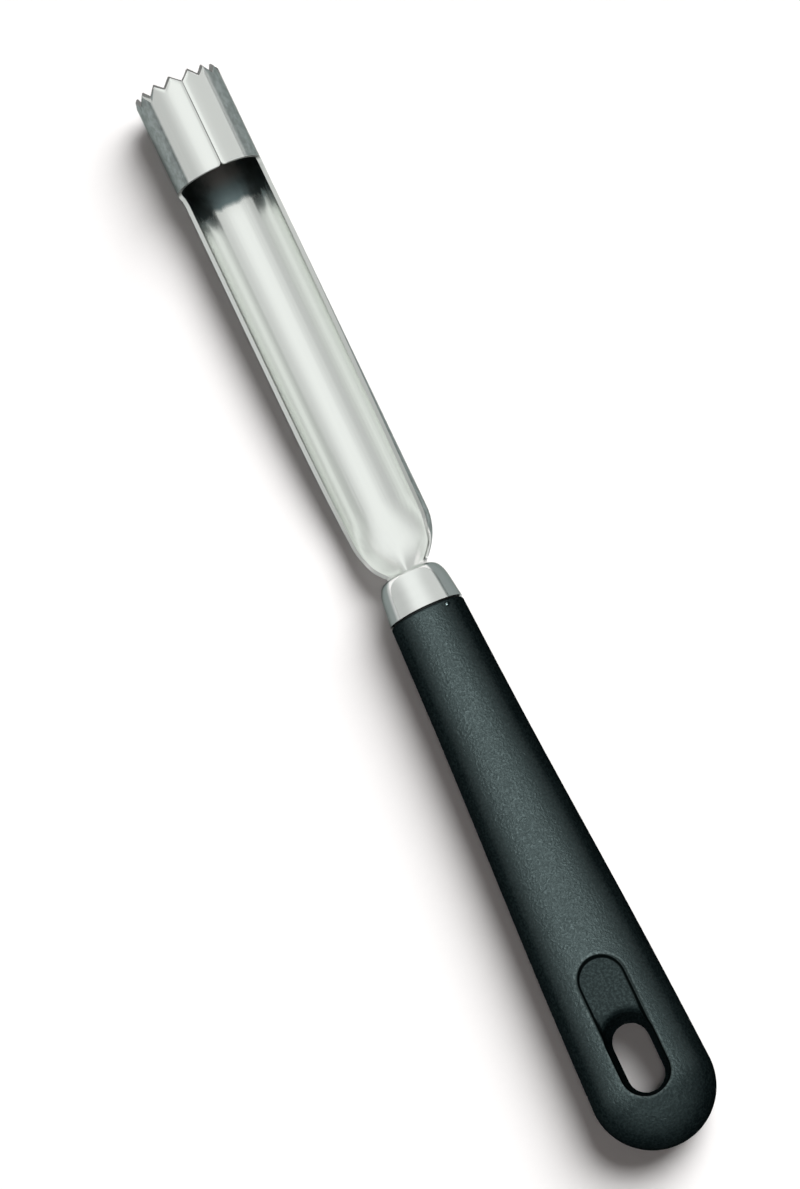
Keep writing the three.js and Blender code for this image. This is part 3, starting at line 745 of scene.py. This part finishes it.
class Wire:
    """A shader socket. Arithmetic on it adds a Math node, and node() adds any other kind."""

    def __init__(self, tree, socket=None):
        self.tree = tree
        self.socket = socket

    def node(self, kind, settings=None, sockets=None, output=0):
        """Adds a node: its settings first, then the values or links of its sockets. Gives one output."""
        made = self.tree.nodes.new(kind)
        for name, value in (settings or {}).items():
            setattr(made, name, value)
        for key, value in (sockets or {}).items():
            if isinstance(value, Wire):
                self.tree.links.new(value.socket, made.inputs[key])
            else:
                made.inputs[key].default_value = value
        return Wire(self.tree, made.outputs[output] if made.outputs else None)

    def math(self, operation, first, second=0.0):
        """Adds a Math node for one or two values."""
        return self.node("ShaderNodeMath", {"operation": operation}, {0: first, 1: second})

    def __add__(self, other):
        return self.math("ADD", self, other)

    def __radd__(self, other):
        return self.math("ADD", other, self)

    def __sub__(self, other):
        return self.math("SUBTRACT", self, other)

    def __rsub__(self, other):
        return self.math("SUBTRACT", other, self)

    def __mul__(self, other):
        return self.math("MULTIPLY", self, other)

    def __rmul__(self, other):
        return self.math("MULTIPLY", other, self)

    def __pow__(self, other):
        return self.math("POWER", self, other)

    def __abs__(self):
        return self.math("ABSOLUTE", self)

    def axes(self, place):
        """The x, y and z of a place."""
        parts = self.node("ShaderNodeSeparateXYZ", {}, {0: place}).socket.node.outputs
        return [Wire(self.tree, part) for part in parts]

    def ramp(self, low, high):
        """An S-curve of this value, from 0 at low to 1 at high."""
        limits = {"Value": self, "From Min": low, "From Max": high}
        return self.node("ShaderNodeMapRange", {"interpolation_type": "SMOOTHSTEP"}, limits)

    def blend(self, first, second):
        """Two colours mixed by this value."""
        return self.node("ShaderNodeMix", {"data_type": "RGBA"}, {0: self, 6: first, 7: second}, output=2)

    def noise(self, place, stretch, detail=2.0, roughness=0.5):
        """Noise over a place, with its lumps per metre along x, y and z. Its values lie round 0.5."""
        placed = self.node("ShaderNodeMapping", {}, {"Vector": place, "Scale": stretch})
        sockets = {"Vector": placed, "Scale": 1.0, "Detail": detail, "Roughness": roughness}
        return self.node("ShaderNodeTexNoise", {}, sockets)

    def bump(self, height, depth, under=None):
        """The normal of a surface with this height, depth metres from its lowest to its highest value."""
        sockets = {"Height": height, "Strength": 1.0, "Distance": depth}
        if under is not None:
            sockets["Normal"] = under
        return self.node("ShaderNodeBump", {}, sockets)


# %% Beginning and ending a finish


def new_finish(name):
    """An empty material, as a wire to begin with and the place of each point in the shared frame."""
    material = bpy.data.materials.new(name)
    material.use_nodes = True
    material.node_tree.nodes.clear()
    start = Wire(material.node_tree)
    return material, start, start.node("ShaderNodeTexCoord", output="Object")


def drawing_axes(start, place):
    """The x, y and z of a place in the millimetres of the drawing."""
    x, y, z = (part * (1 / MILLIMETRE) for part in start.axes(place))
    return x, y - ZERO_Y, z


def finish_with(start, sockets):
    """Ends a material with one Principled shader."""
    shader = start.node("ShaderNodeBsdfPrincipled", {}, sockets)
    start.node("ShaderNodeOutputMaterial", {}, {"Surface": shader})


# %% [markdown]
# ## Sheet steel
# The blade is bright rolled stainless: nearly a mirror, with faint drawn streaks along the tool, a slight
# waviness from pressing and a trace of green in its grey. On the outside the top of the ring stays bright,
# and its flanks and the back of the trough are painted grey, with a half-tone between: a painted reflection
# of a darker floor. The inside is polished a little duller along the tool, the sheared edges are duller
# still, and the ground and punched edges of the teeth are dark. Deep in the ring and just below it the
# inside
# is painted dark: a painted shade and reflection of the ring's shadow and its dark inside. Below the ring
# it ends in a border that is nearly straight on the floor of the trough and ragged on its walls.
# The streaks are noise stretched along y. They change the roughness a little and the normal very little,
# because a mirror shows even a thousandth of a millimetre. Where the painted grey of a flank begins is read
# from the surface's own normal, so it stays put from every side. One function makes all four finishes.

# %% Grey flanks, a painted reflection
# Painted reflection: the grey and the half-tone of the flanks stand for a darker floor mirrored there.
FLANK_PAINTED_REFLECTION = np.array([0.272, 0.312, 0.306])
HALF_TONE = (0.5, 0.53, 0.52, 1)
HALF_TONE_LEAN = (0.66, 0.72)
FLANK_LEAN = (0.66, 0.74)
FLANK_ROUGHNESS = 0.1
RING_SWING = -0.04
FERRULE_SWING = 0.055


def with_painted_flanks(start, bright_top, painted_grey, swing):
    """A bright top that fades over a painted half-tone to painted grey flanks: a painted reflection of a
    darker floor. The lean of a surface is the sideways part of its normal seen along the tool,
    x / sqrt(x^2 + z^2), and each fade is an S-curve of it. The swing turns both flanks round the axis.
    Gives the colour and the share of the flank."""
    x, _, z = start.axes(start.node("ShaderNodeTexCoord", output="Normal"))
    lean = start.math("DIVIDE", x, start.math("MAXIMUM", x * x + z * z, 1e-6) ** 0.5)
    half_tone = abs(lean).ramp(*HALF_TONE_LEAN)
    on_flank = abs(lean + swing).ramp(*FLANK_LEAN)
    return on_flank.blend(half_tone.blend(bright_top, HALF_TONE), painted_grey), on_flank


# %% Painted shade and reflection in the ring
# Painted shade and reflection: the colours of the ring's shadow and its dark inside, darker towards the
# walls.
RING_SHADE_COLD = (0.27, 0.35, 0.365, 1)
RING_SHADE_WARM = (0.36, 0.345, 0.335, 1)
RING_SHADE_DARK = (0.15, 0.17, 0.17, 1)
RING_SHADE_ROUGHNESS = 0.16
WALL_FROM_MIDDLE = (3.4, 4.8)
FLOOR_TONGUE, WALL_TONGUE = 1.2, 4.2
WALL_LEAD = 1.3
RING_SHADE_BORDER = (-5.0, -3.6)
WARM_BORDER = (-1.6, 1.8)
DARK_TO_WALL, DARK_BLOTCHES, DARK_LEVEL = 0.25, 1.6, 1.3


def with_painted_ring_shade(start, place, polished):
    """A polished colour that gives way to a painted shade and reflection: the ring's shadow and its dark
    inside. Its border lies along y, moved by a noise that is small on the floor and large on the walls. The
    painted shade is cold near the border and warm deep in the ring, and darkens towards the walls in
    blotches:
    a share of x plus a noise, less a level. Gives the colour and the share of the painted shade."""
    x, y, _ = drawing_axes(start, place)
    from_middle, from_ring = abs(x), y - RING_EDGE
    on_wall = from_middle.ramp(*WALL_FROM_MIDDLE)
    tongues = start.noise(place, (700, 60, 700), 2.0, 0.6) - 0.5
    blotches = start.noise(place, (420, 300, 420), 4.0, 0.65)
    ragged = from_ring + tongues * (FLOOR_TONGUE + on_wall * WALL_TONGUE) + on_wall * WALL_LEAD
    in_ring_shade = ragged.ramp(*RING_SHADE_BORDER)
    ring_shade_tone = from_ring.ramp(*WARM_BORDER).blend(RING_SHADE_COLD, RING_SHADE_WARM)
    deeper_shade = from_middle * DARK_TO_WALL + blotches * DARK_BLOTCHES - DARK_LEVEL
    return in_ring_shade.blend(polished, deeper_shade.ramp(0, 1).blend(ring_shade_tone, RING_SHADE_DARK)), in_ring_shade


# %% The blade's four finishes
DULL_STEEL = np.array([0.885, 0.9, 0.88])
BRIGHT_STEEL = np.array([0.945, 0.96, 0.94])
WHITE_TINT = (1.0, 1.0, 1.0, 1)
EDGE_TINT = (0.5, 0.53, 0.52, 1)
DARK_TINT = (0.3, 0.3, 0.3, 1)
STREAK_DEPTH = 3e-6
WAVE_DEPTH = 5e-5
LINE_DEPTH = 1.4e-5
POLISHING_DEPTH = 3.5e-5
MOTTLE = 0.66


def sheet_steel(name, roughness, edge_tint, brightness=1.0, line_depth=LINE_DEPTH, has_ring_shade=False,
                has_painted_flanks=False):
    """Drawn sheet with streaks along y, scaled in brightness. The ring shade is a painted shade and
    reflection deep in the ring and below it, and the flanks are the sides painted grey as a painted
    reflection. Depths are in metres."""
    material, start, place = new_finish(name)
    streaks = start.noise(place, (2600, 18, 2600), 3.0, 0.6)
    smudges = start.noise(place, (160, 45, 160), 3.0, 0.55)
    waves = start.noise(place, (190, 22, 190), 1.0, 0.4)
    lines = start.noise(place, (900, 5, 900), 2.0, 0.6)
    colour = streaks.blend((*brightness * DULL_STEEL, 1), (*brightness * BRIGHT_STEEL, 1))
    roughness = roughness + streaks * 0.08 + smudges * 0.05
    if has_painted_flanks:
        mottle = start.noise(place, (1000, 750, 1000), 3.0, 0.6).ramp(0.32, 0.68)
        painted_grey = mottle.blend((*MOTTLE * FLANK_PAINTED_REFLECTION, 1), (*FLANK_PAINTED_REFLECTION, 1))
        # The flanks are painted grey, a painted reflection.
        colour, on_flank = with_painted_flanks(start, colour, painted_grey, RING_SWING)
        roughness = roughness + on_flank * FLANK_ROUGHNESS
    if has_ring_shade:
        # The inside of the ring is painted dark, a painted shade and reflection.
        colour, in_ring_shade = with_painted_ring_shade(start, place, colour)
        roughness = roughness + in_ring_shade * RING_SHADE_ROUGHNESS
    waviness = start.bump(lines, line_depth, start.bump(waves, WAVE_DEPTH))
    finish_with(start, {
        "Base Color": colour,
        "Metallic": 1.0,
        "Roughness": roughness,
        "Specular Tint": edge_tint,
        "Normal": start.bump(streaks, STREAK_DEPTH, waviness),
    })
    print(name + ":", len(material.node_tree.nodes), "nodes")
    return material


# The inner steel carries the painted shade and reflection inside the ring.
inner_steel = sheet_steel(
    "polished_sheet_steel", 0.13, WHITE_TINT, line_depth=POLISHING_DEPTH, has_ring_shade=True
)
outer_steel = sheet_steel("rolled_sheet_steel", 0.08, EDGE_TINT, has_painted_flanks=True)
edge_steel = sheet_steel("sheared_sheet_edge", 0.3, DARK_TINT, brightness=0.75)
tooth_steel = sheet_steel("punched_tooth_edge", 0.35, DARK_TINT, brightness=0.28)

# %% [markdown]
# ## Drawn steel
# The ferrule is drawn in a press, and its fine lines run round the axis. Rings round y are noise that is
# stretched across x and z and squeezed along y. Like the ring it stays bright on top, and its flanks are
# painted grey: a painted reflection of a darker floor.

# %% The ferrule's steel
DRAWN_STEEL = ((0.86, 0.875, 0.86, 1), (0.92, 0.935, 0.92, 1))
# Painted reflection: the grey of the ferrule's flanks.
FERRULE_PAINTED_REFLECTION = (*0.87 * FLANK_PAINTED_REFLECTION, 1)
RING_LINE_DEPTH = 1.5e-6
ferrule_steel, start, place = new_finish("drawn_steel_painted_flanks")
rings = start.noise(place, (30, 2400, 30), 3.0, 0.6)
smudges = start.noise(place, (170, 170, 170), 3.0, 0.55)
steel, _ = with_painted_flanks(start, rings.blend(*DRAWN_STEEL), FERRULE_PAINTED_REFLECTION, FERRULE_SWING)
finish_with(start, {
    "Base Color": steel,
    "Metallic": 1.0,
    "Roughness": 0.08 + rings * 0.07 + smudges * 0.06,
    "Specular Tint": EDGE_TINT,
    "Normal": start.bump(rings, RING_LINE_DEPTH),
})
print("ferrule steel:", len(ferrule_steel.node_tree.nodes), "nodes")

# %% [markdown]
# ## Moulded handle plastic
# The handle is a dark plastic with a breath of blue-green, moulded in a spark-eroded tool. That leaves a
# fine pebbled grain, half a millimetre or so, which breaks the highlight into a soft shimmer. Two sizes of
# noise make the grain. Handling has polished the crests, so they are smoother. The lip of the recess gets a
# painted highlight, a lighter colour where it catches the light. The floor of the recess is duller, its
# wall is painted black as painted shade, and the stub of the gate shiny.
# Where the flanks turn away from the eye, the pebbles hide one another's polished crests. So the gloss
# gives way there to a matt shader of the same colour. Its share comes from the Facing value of a Layer
# Weight node and from how upright the surface is: the top, which the palm polishes most, keeps its gloss
# from every side. The very end behind the hole, which the palm hardly rubs, is mostly matt.

# %% Places on the handle
ABOVE_RECESS_FLOOR = (15.5, 16.2)
ABOVE_GATE_FOOT = (12.0, 12.5)
# Painted shade: the wall of the recess is painted black, a little wider on the right side.
WALL_OFFSET, WALL_FADE = -0.4, (0.2, 0.5)
WIDER_ON_RIGHT, RIGHT_SIDE = 0.2, (2.0, 5.0)
LIP_OFFSET, LIP_FADE = 0.2, (0.1, 0.4)
RECESS_FADE = (-1.0, -0.6)
GATE_FADE = (GATE_MARK_SIZE, 2 * GATE_MARK_SIZE)
PALM_FADE = (-1.0, 4.5)

grip_plastic, start, place = new_finish("grained_moulded_plastic")
x, y, z = drawing_axes(start, place)
half_straight = (RECESS_LENGTH - RECESS_WIDTH) / 2
from_middle = abs(y - (RECESS_END + RECESS_FRONT) / 2)
past_straight = start.math("MAXIMUM", from_middle - half_straight, 0.0)
from_outline = (x * x + past_straight * past_straight) ** 0.5 - RECESS_WIDTH / 2
on_top = z.ramp(*ABOVE_RECESS_FLOOR)
from_wall = abs(from_outline - WALL_OFFSET) - x.ramp(*RIGHT_SIDE) * WIDER_ON_RIGHT
in_shaded_wall = (1 - from_wall.ramp(*WALL_FADE)) * on_top
in_recess = (1 - from_outline.ramp(*RECESS_FADE)) * on_top
on_lip = (1 - abs(from_outline - LIP_OFFSET).ramp(*LIP_FADE)) * on_top
gate_x, gate_y = x - GATE_MARK[0], y - GATE_MARK[1]
from_gate_mark = (gate_x * gate_x + gate_y * gate_y) ** 0.5
on_gate = (1 - from_gate_mark.ramp(*GATE_FADE)) * z.ramp(*ABOVE_GATE_FOOT)
in_palm = (y - RECESS_END).ramp(*PALM_FADE)
print("masks of the handle:", len(grip_plastic.node_tree.nodes), "nodes")

# %% The handle's plastic
PLASTIC_TONES = ((0.0036, 0.0068, 0.0074, 1), (0.0122, 0.0195, 0.0202, 1))
# Painted highlight: the lighter colour of the recess lip.
LIP_HIGHLIGHT = (0.06, 0.078, 0.078, 1)
# Painted shade: the black of the recess wall.
WALL_SHADE = (0.0025, 0.0045, 0.0045, 1)
GLOSS_TINT = (0.78, 1.0, 1.0, 1)
GRAIN_DEPTH = 3.2e-4
TONE_GRAIN, CREST_GRAIN = (0.38, 0.64), (0.42, 0.66)
FLANK_UPRIGHT, HIDING = (0.62, 1.06), (0.05, 0.86)
END_GLOSS = 0.34

pebbles = start.noise(place, (2000, 2000, 2000), 2.0, 0.6)
fine = start.noise(place, (6500, 6500, 6500), 1.0, 0.5)
cloud = start.noise(place, (120, 60, 120), 3.0, 0.55)
grain = pebbles * 0.8 + fine * 0.2
tone = (grain * 0.8 + cloud * 0.2).ramp(*TONE_GRAIN)
# The lip of the recess is painted lighter, a painted highlight.
tone_and_lip_highlight = (on_lip * tone).blend(tone.blend(*PLASTIC_TONES), LIP_HIGHLIGHT)
roughness = 0.5 - grain.ramp(*CREST_GRAIN) * 0.22 + cloud * 0.04 + in_shaded_wall * 0.4 + in_recess * 0.4
body = {
    "Base Color": in_shaded_wall.blend(tone_and_lip_highlight, WALL_SHADE),
    "Normal": start.bump(grain * (1 - on_gate), GRAIN_DEPTH),
}
glossy = start.node("ShaderNodeBsdfPrincipled", {}, {
    **body,
    "Roughness": roughness * (1 - on_gate * 0.75),
    "Specular IOR Level": 0.57,
    "Specular Tint": GLOSS_TINT,
})
matt = start.node("ShaderNodeBsdfPrincipled", {}, {**body, "Roughness": 0.8, "Specular IOR Level": 0.0})
glancing = start.node("ShaderNodeLayerWeight", {}, {"Blend": 0.5}, output="Facing")
_, _, upright = start.axes(start.node("ShaderNodeTexCoord", output="Normal"))
on_flank = 1 - upright.ramp(*FLANK_UPRIGHT)
hidden_crests = on_flank * start.math("DIVIDE", glancing, 1.05 - upright).ramp(*HIDING)
matt_share = 1 - (1 - hidden_crests) * (END_GLOSS + in_palm * (1 - END_GLOSS))
surface = start.node("ShaderNodeMixShader", {}, {0: matt_share, 1: glossy, 2: matt})
start.node("ShaderNodeOutputMaterial", {}, {"Surface": surface})
print("handle plastic:", len(grip_plastic.node_tree.nodes), "nodes")

# %% [markdown]
# ## Core plastic
# The plug inside the handle hardly shows, only as the dark ring between the neck and the ferrule. It keeps
# its solid shape and gets a plain matt plastic with a little mottling.

# %% The core's plastic
CORE_TONES = ((0.018, 0.022, 0.022, 1), (0.032, 0.037, 0.037, 1))
CORE_GRAIN_DEPTH = 4e-5
core_plastic, start, place = new_finish("matt_core_plastic")
mottle = start.noise(place, (900, 900, 900), 3.0, 0.6)
finish_with(start, {
    "Base Color": mottle.blend(*CORE_TONES),
    "Roughness": 0.6 + mottle * 0.2,
    "Normal": start.bump(mottle, CORE_GRAIN_DEPTH),
})
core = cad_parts["tang_core"]
print("core plastic on", core.name)

# %% [markdown]
# ## Dressing the solids
# Each new piece rides on the one body of the tool and stands for its solid, which is then hidden. The blade
# is one mesh with four finishes. They could be told apart by normals, but its faces were laid down in a
# known order, so counting them is enough: the outer skin with the ground teeth first, the inner skin, the
# edges of the teeth and all other edges.

# %% Finishes, bodies and the solids that are stood for
INNER, OUTER, EDGE, TOOTH = range(4)
dressed = [
    (blade, inner_steel, "corer_blade", "blade_steel"),
    (ferrule, ferrule_steel, "ferrule", "ferrule_steel"),
    (handle, grip_plastic, "handle_grip", "grip_plastic"),
]
for piece, finish, node, slot in dressed:
    piece.data.materials.append(finish)
    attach(piece, "root")
    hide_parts(node)
for finish in (outer_steel, edge_steel, tooth_steel):
    blade.data.materials.append(finish)
skin_faces = int(is_metal.sum())
ground_faces = (len(near_teeth) - 1) * COLUMNS
edge_faces = len(blade_faces) - 2 * skin_faces - COLUMNS
face_counts = [ground_faces, skin_faces - ground_faces, skin_faces, COLUMNS, edge_faces]
face_finishes = np.repeat([TOOTH, OUTER, INNER, TOOTH, EDGE], face_counts)
blade.data.polygons.foreach_set("material_index", face_finishes)
core.data.materials.clear()
core.data.materials.append(core_plastic)
print("pieces:", [piece.name for piece, *_ in dressed] + [core.name])

# %% [markdown]
# ## Camera
# The picture is taken from almost straight above, leaning a little towards the handle, with a long lens
# and the tool turned in the frame. A camera's matrix is three axes and a place, so it is written out
# directly: right, up and back, then the point 1.44 metres from the middle of the picture.

# %% The camera
LEAN = math.radians(9.2)
TURN = math.radians(25.45)
DISTANCE = 1.44
PICTURE_MIDDLE = (-3.2, 5.36, AXIS_Z)
back = Vector((0, -math.sin(LEAN), math.cos(LEAN)))
along_tool = Vector((0, math.cos(LEAN), math.sin(LEAN)))
across_tool = Vector((1, 0, 0))
up = math.cos(TURN) * along_tool + math.sin(TURN) * across_tool
right = up.cross(back)
looked_at = Vector(to_metres(PICTURE_MIDDLE))
camera_data = bpy.data.cameras.new("camera")
camera_data.sensor_width = 36
camera_data.lens = 223.2
camera_data.clip_start, camera_data.clip_end = 0.05, 20
camera = bpy.data.objects.new("camera", camera_data)
camera.matrix_world = Matrix.LocRotScale(
    looked_at + DISTANCE * back, Matrix([right, up, back]).transposed().to_quaternion(), None
)
bpy.context.scene.collection.objects.link(camera)
bpy.context.scene.camera = camera
print("camera at", [round(v, 3) for v in camera.location])

# %% [markdown]
# ## Floor, lamps and surroundings
# The floor is pale paper. A broad lamp from the upper right lights it and lays a soft shadow to the left
# of the tool. A faint lamp from the camera's side lifts that shadow a little, and the floor under the
# hanging hole with it. Another soft lamp above gives the handle its long sheen. The metal mirrors its
# surroundings: a pale tent with a brighter panel overhead, which shows as the bright band along the blade,
# and a dark line at the horizon. Only the camera and reflections see that tent. As a light it is dim, so
# that the shadow stays deep. Light linking tells each lamp which things it lights.

# %% The floor


def shown_rays(start):
    """1 for the rays that show a surface: to the camera, in a reflection or through glass. Else 0."""
    path = start.node("ShaderNodeLightPath").socket.node
    kinds = ("Camera", "Glossy", "Transmission")
    return sum(Wire(start.tree, path.outputs[f"Is {kind} Ray"]) for kind in kinds)


FLOOR_REACH = 4.0
PAPER_TONES = ((0.885, 0.875, 0.87, 1), (0.9, 0.89, 0.885, 1))
DIM_PAPER = (0.25, 0.24, 0.235, 1)
floor_mesh = bpy.data.meshes.new("floor")
floor_corners = FLOOR_REACH * np.array([[-1, -1, 0], [1, -1, 0], [1, 1, 0], [-1, 1, 0]])
floor_mesh.from_pydata(floor_corners, [], [(0, 1, 2, 3)])
floor = bpy.data.objects.new("floor", floor_mesh)
bpy.context.scene.collection.objects.link(floor)
floor_paper, start, place = new_finish("pale_floor_paper")
fibres = start.noise(place, (700, 700, 700), 2.0, 0.5)
finish_with(start, {
    "Base Color": shown_rays(start).blend(DIM_PAPER, fibres.blend(*PAPER_TONES)),
    "Roughness": 1.0,
    "Specular IOR Level": 0.0,
})
floor_mesh.materials.append(floor_paper)
print("floor", 2 * FLOOR_REACH, "metres wide")

# %% Lamps
LAMP_DISTANCE = 3.0
FILL_TINT = (1.0, 0.93, 0.915)


def far_lamp(name, towards, lit, energy, spread_angle, colour=(1.0, 1.0, 1.0)):
    """A lamp with parallel light from a direction, facing the tool, for the lit objects. The wider its
    spread in degrees, the softer its shadow."""
    data = bpy.data.lights.new(name, "SUN")
    data.energy = energy
    data.angle = math.radians(spread_angle)
    data.color = colour
    made = bpy.data.objects.new(name, data)
    towards = Vector(towards).normalized()
    across = Vector((0, 1, 0)).cross(towards).normalized()
    axes = Matrix([across, towards.cross(across), towards]).transposed()
    made.matrix_world = Matrix.LocRotScale(towards * LAMP_DISTANCE, axes.to_quaternion(), None)
    made.visible_camera = False
    bpy.context.scene.collection.objects.link(made)
    receivers = bpy.data.collections.new(name + "_receivers")
    for thing in lit:
        receivers.objects.link(thing)
    made.light_linking.receiver_collection = receivers
    return made


floor_lamp = far_lamp("floor_lamp", (0.68, 0.42, 1), [floor], energy=4.2, spread_angle=42)
fill_lamp = far_lamp("fill_lamp", back, [floor], energy=0.26, spread_angle=8, colour=FILL_TINT)
soft_lamp = far_lamp("soft_lamp", (-0.06, 0, 1), [handle, core], energy=3.1, spread_angle=24)
print("lamps:", floor_lamp.name, fill_lamp.name, soft_lamp.name)

# %% Surroundings
PANEL_COLOUR = (0.925, 0.945, 0.925, 1)
SIDE_COLOURS = ((0.56, 0.572, 0.56, 1), (0.65, 0.665, 0.65, 1))
HORIZON_COLOUR = (0.2, 0.21, 0.21, 1)
DIM_LIGHT = (0.065, 0.06, 0.058, 1)
PANEL_MIDDLE, PANEL_FADE = -0.05, (0.12, 0.8)
SIDE_FADE = (-0.3, 0.3)
HORIZON_FADE = (0.0, 0.05)

world = bpy.data.worlds.new("tent")
bpy.context.scene.world = world
world.use_nodes = True
world.node_tree.nodes.clear()
start = Wire(world.node_tree)
direction = start.node("ShaderNodeTexCoord", output="Generated")
sideways, _, upward = start.axes(direction)
side_colour = sideways.ramp(*SIDE_FADE).blend(*SIDE_COLOURS)
off_panel = abs(sideways - PANEL_MIDDLE).ramp(*PANEL_FADE)
tent_colour = upward.ramp(*HORIZON_FADE).blend(HORIZON_COLOUR, off_panel.blend(PANEL_COLOUR, side_colour))
tent = start.node("ShaderNodeBackground", {}, {"Color": tent_colour, "Strength": 1.0})
dim = start.node("ShaderNodeBackground", {}, {"Color": DIM_LIGHT, "Strength": 1.0})
surroundings = start.node("ShaderNodeMixShader", {}, {0: shown_rays(start), 1: dim, 2: tent})
start.node("ShaderNodeOutputWorld", {}, {"Surface": surroundings})
bpy.context.scene.view_settings.view_transform = "Standard"
print("surroundings:", len(world.node_tree.nodes), "nodes")
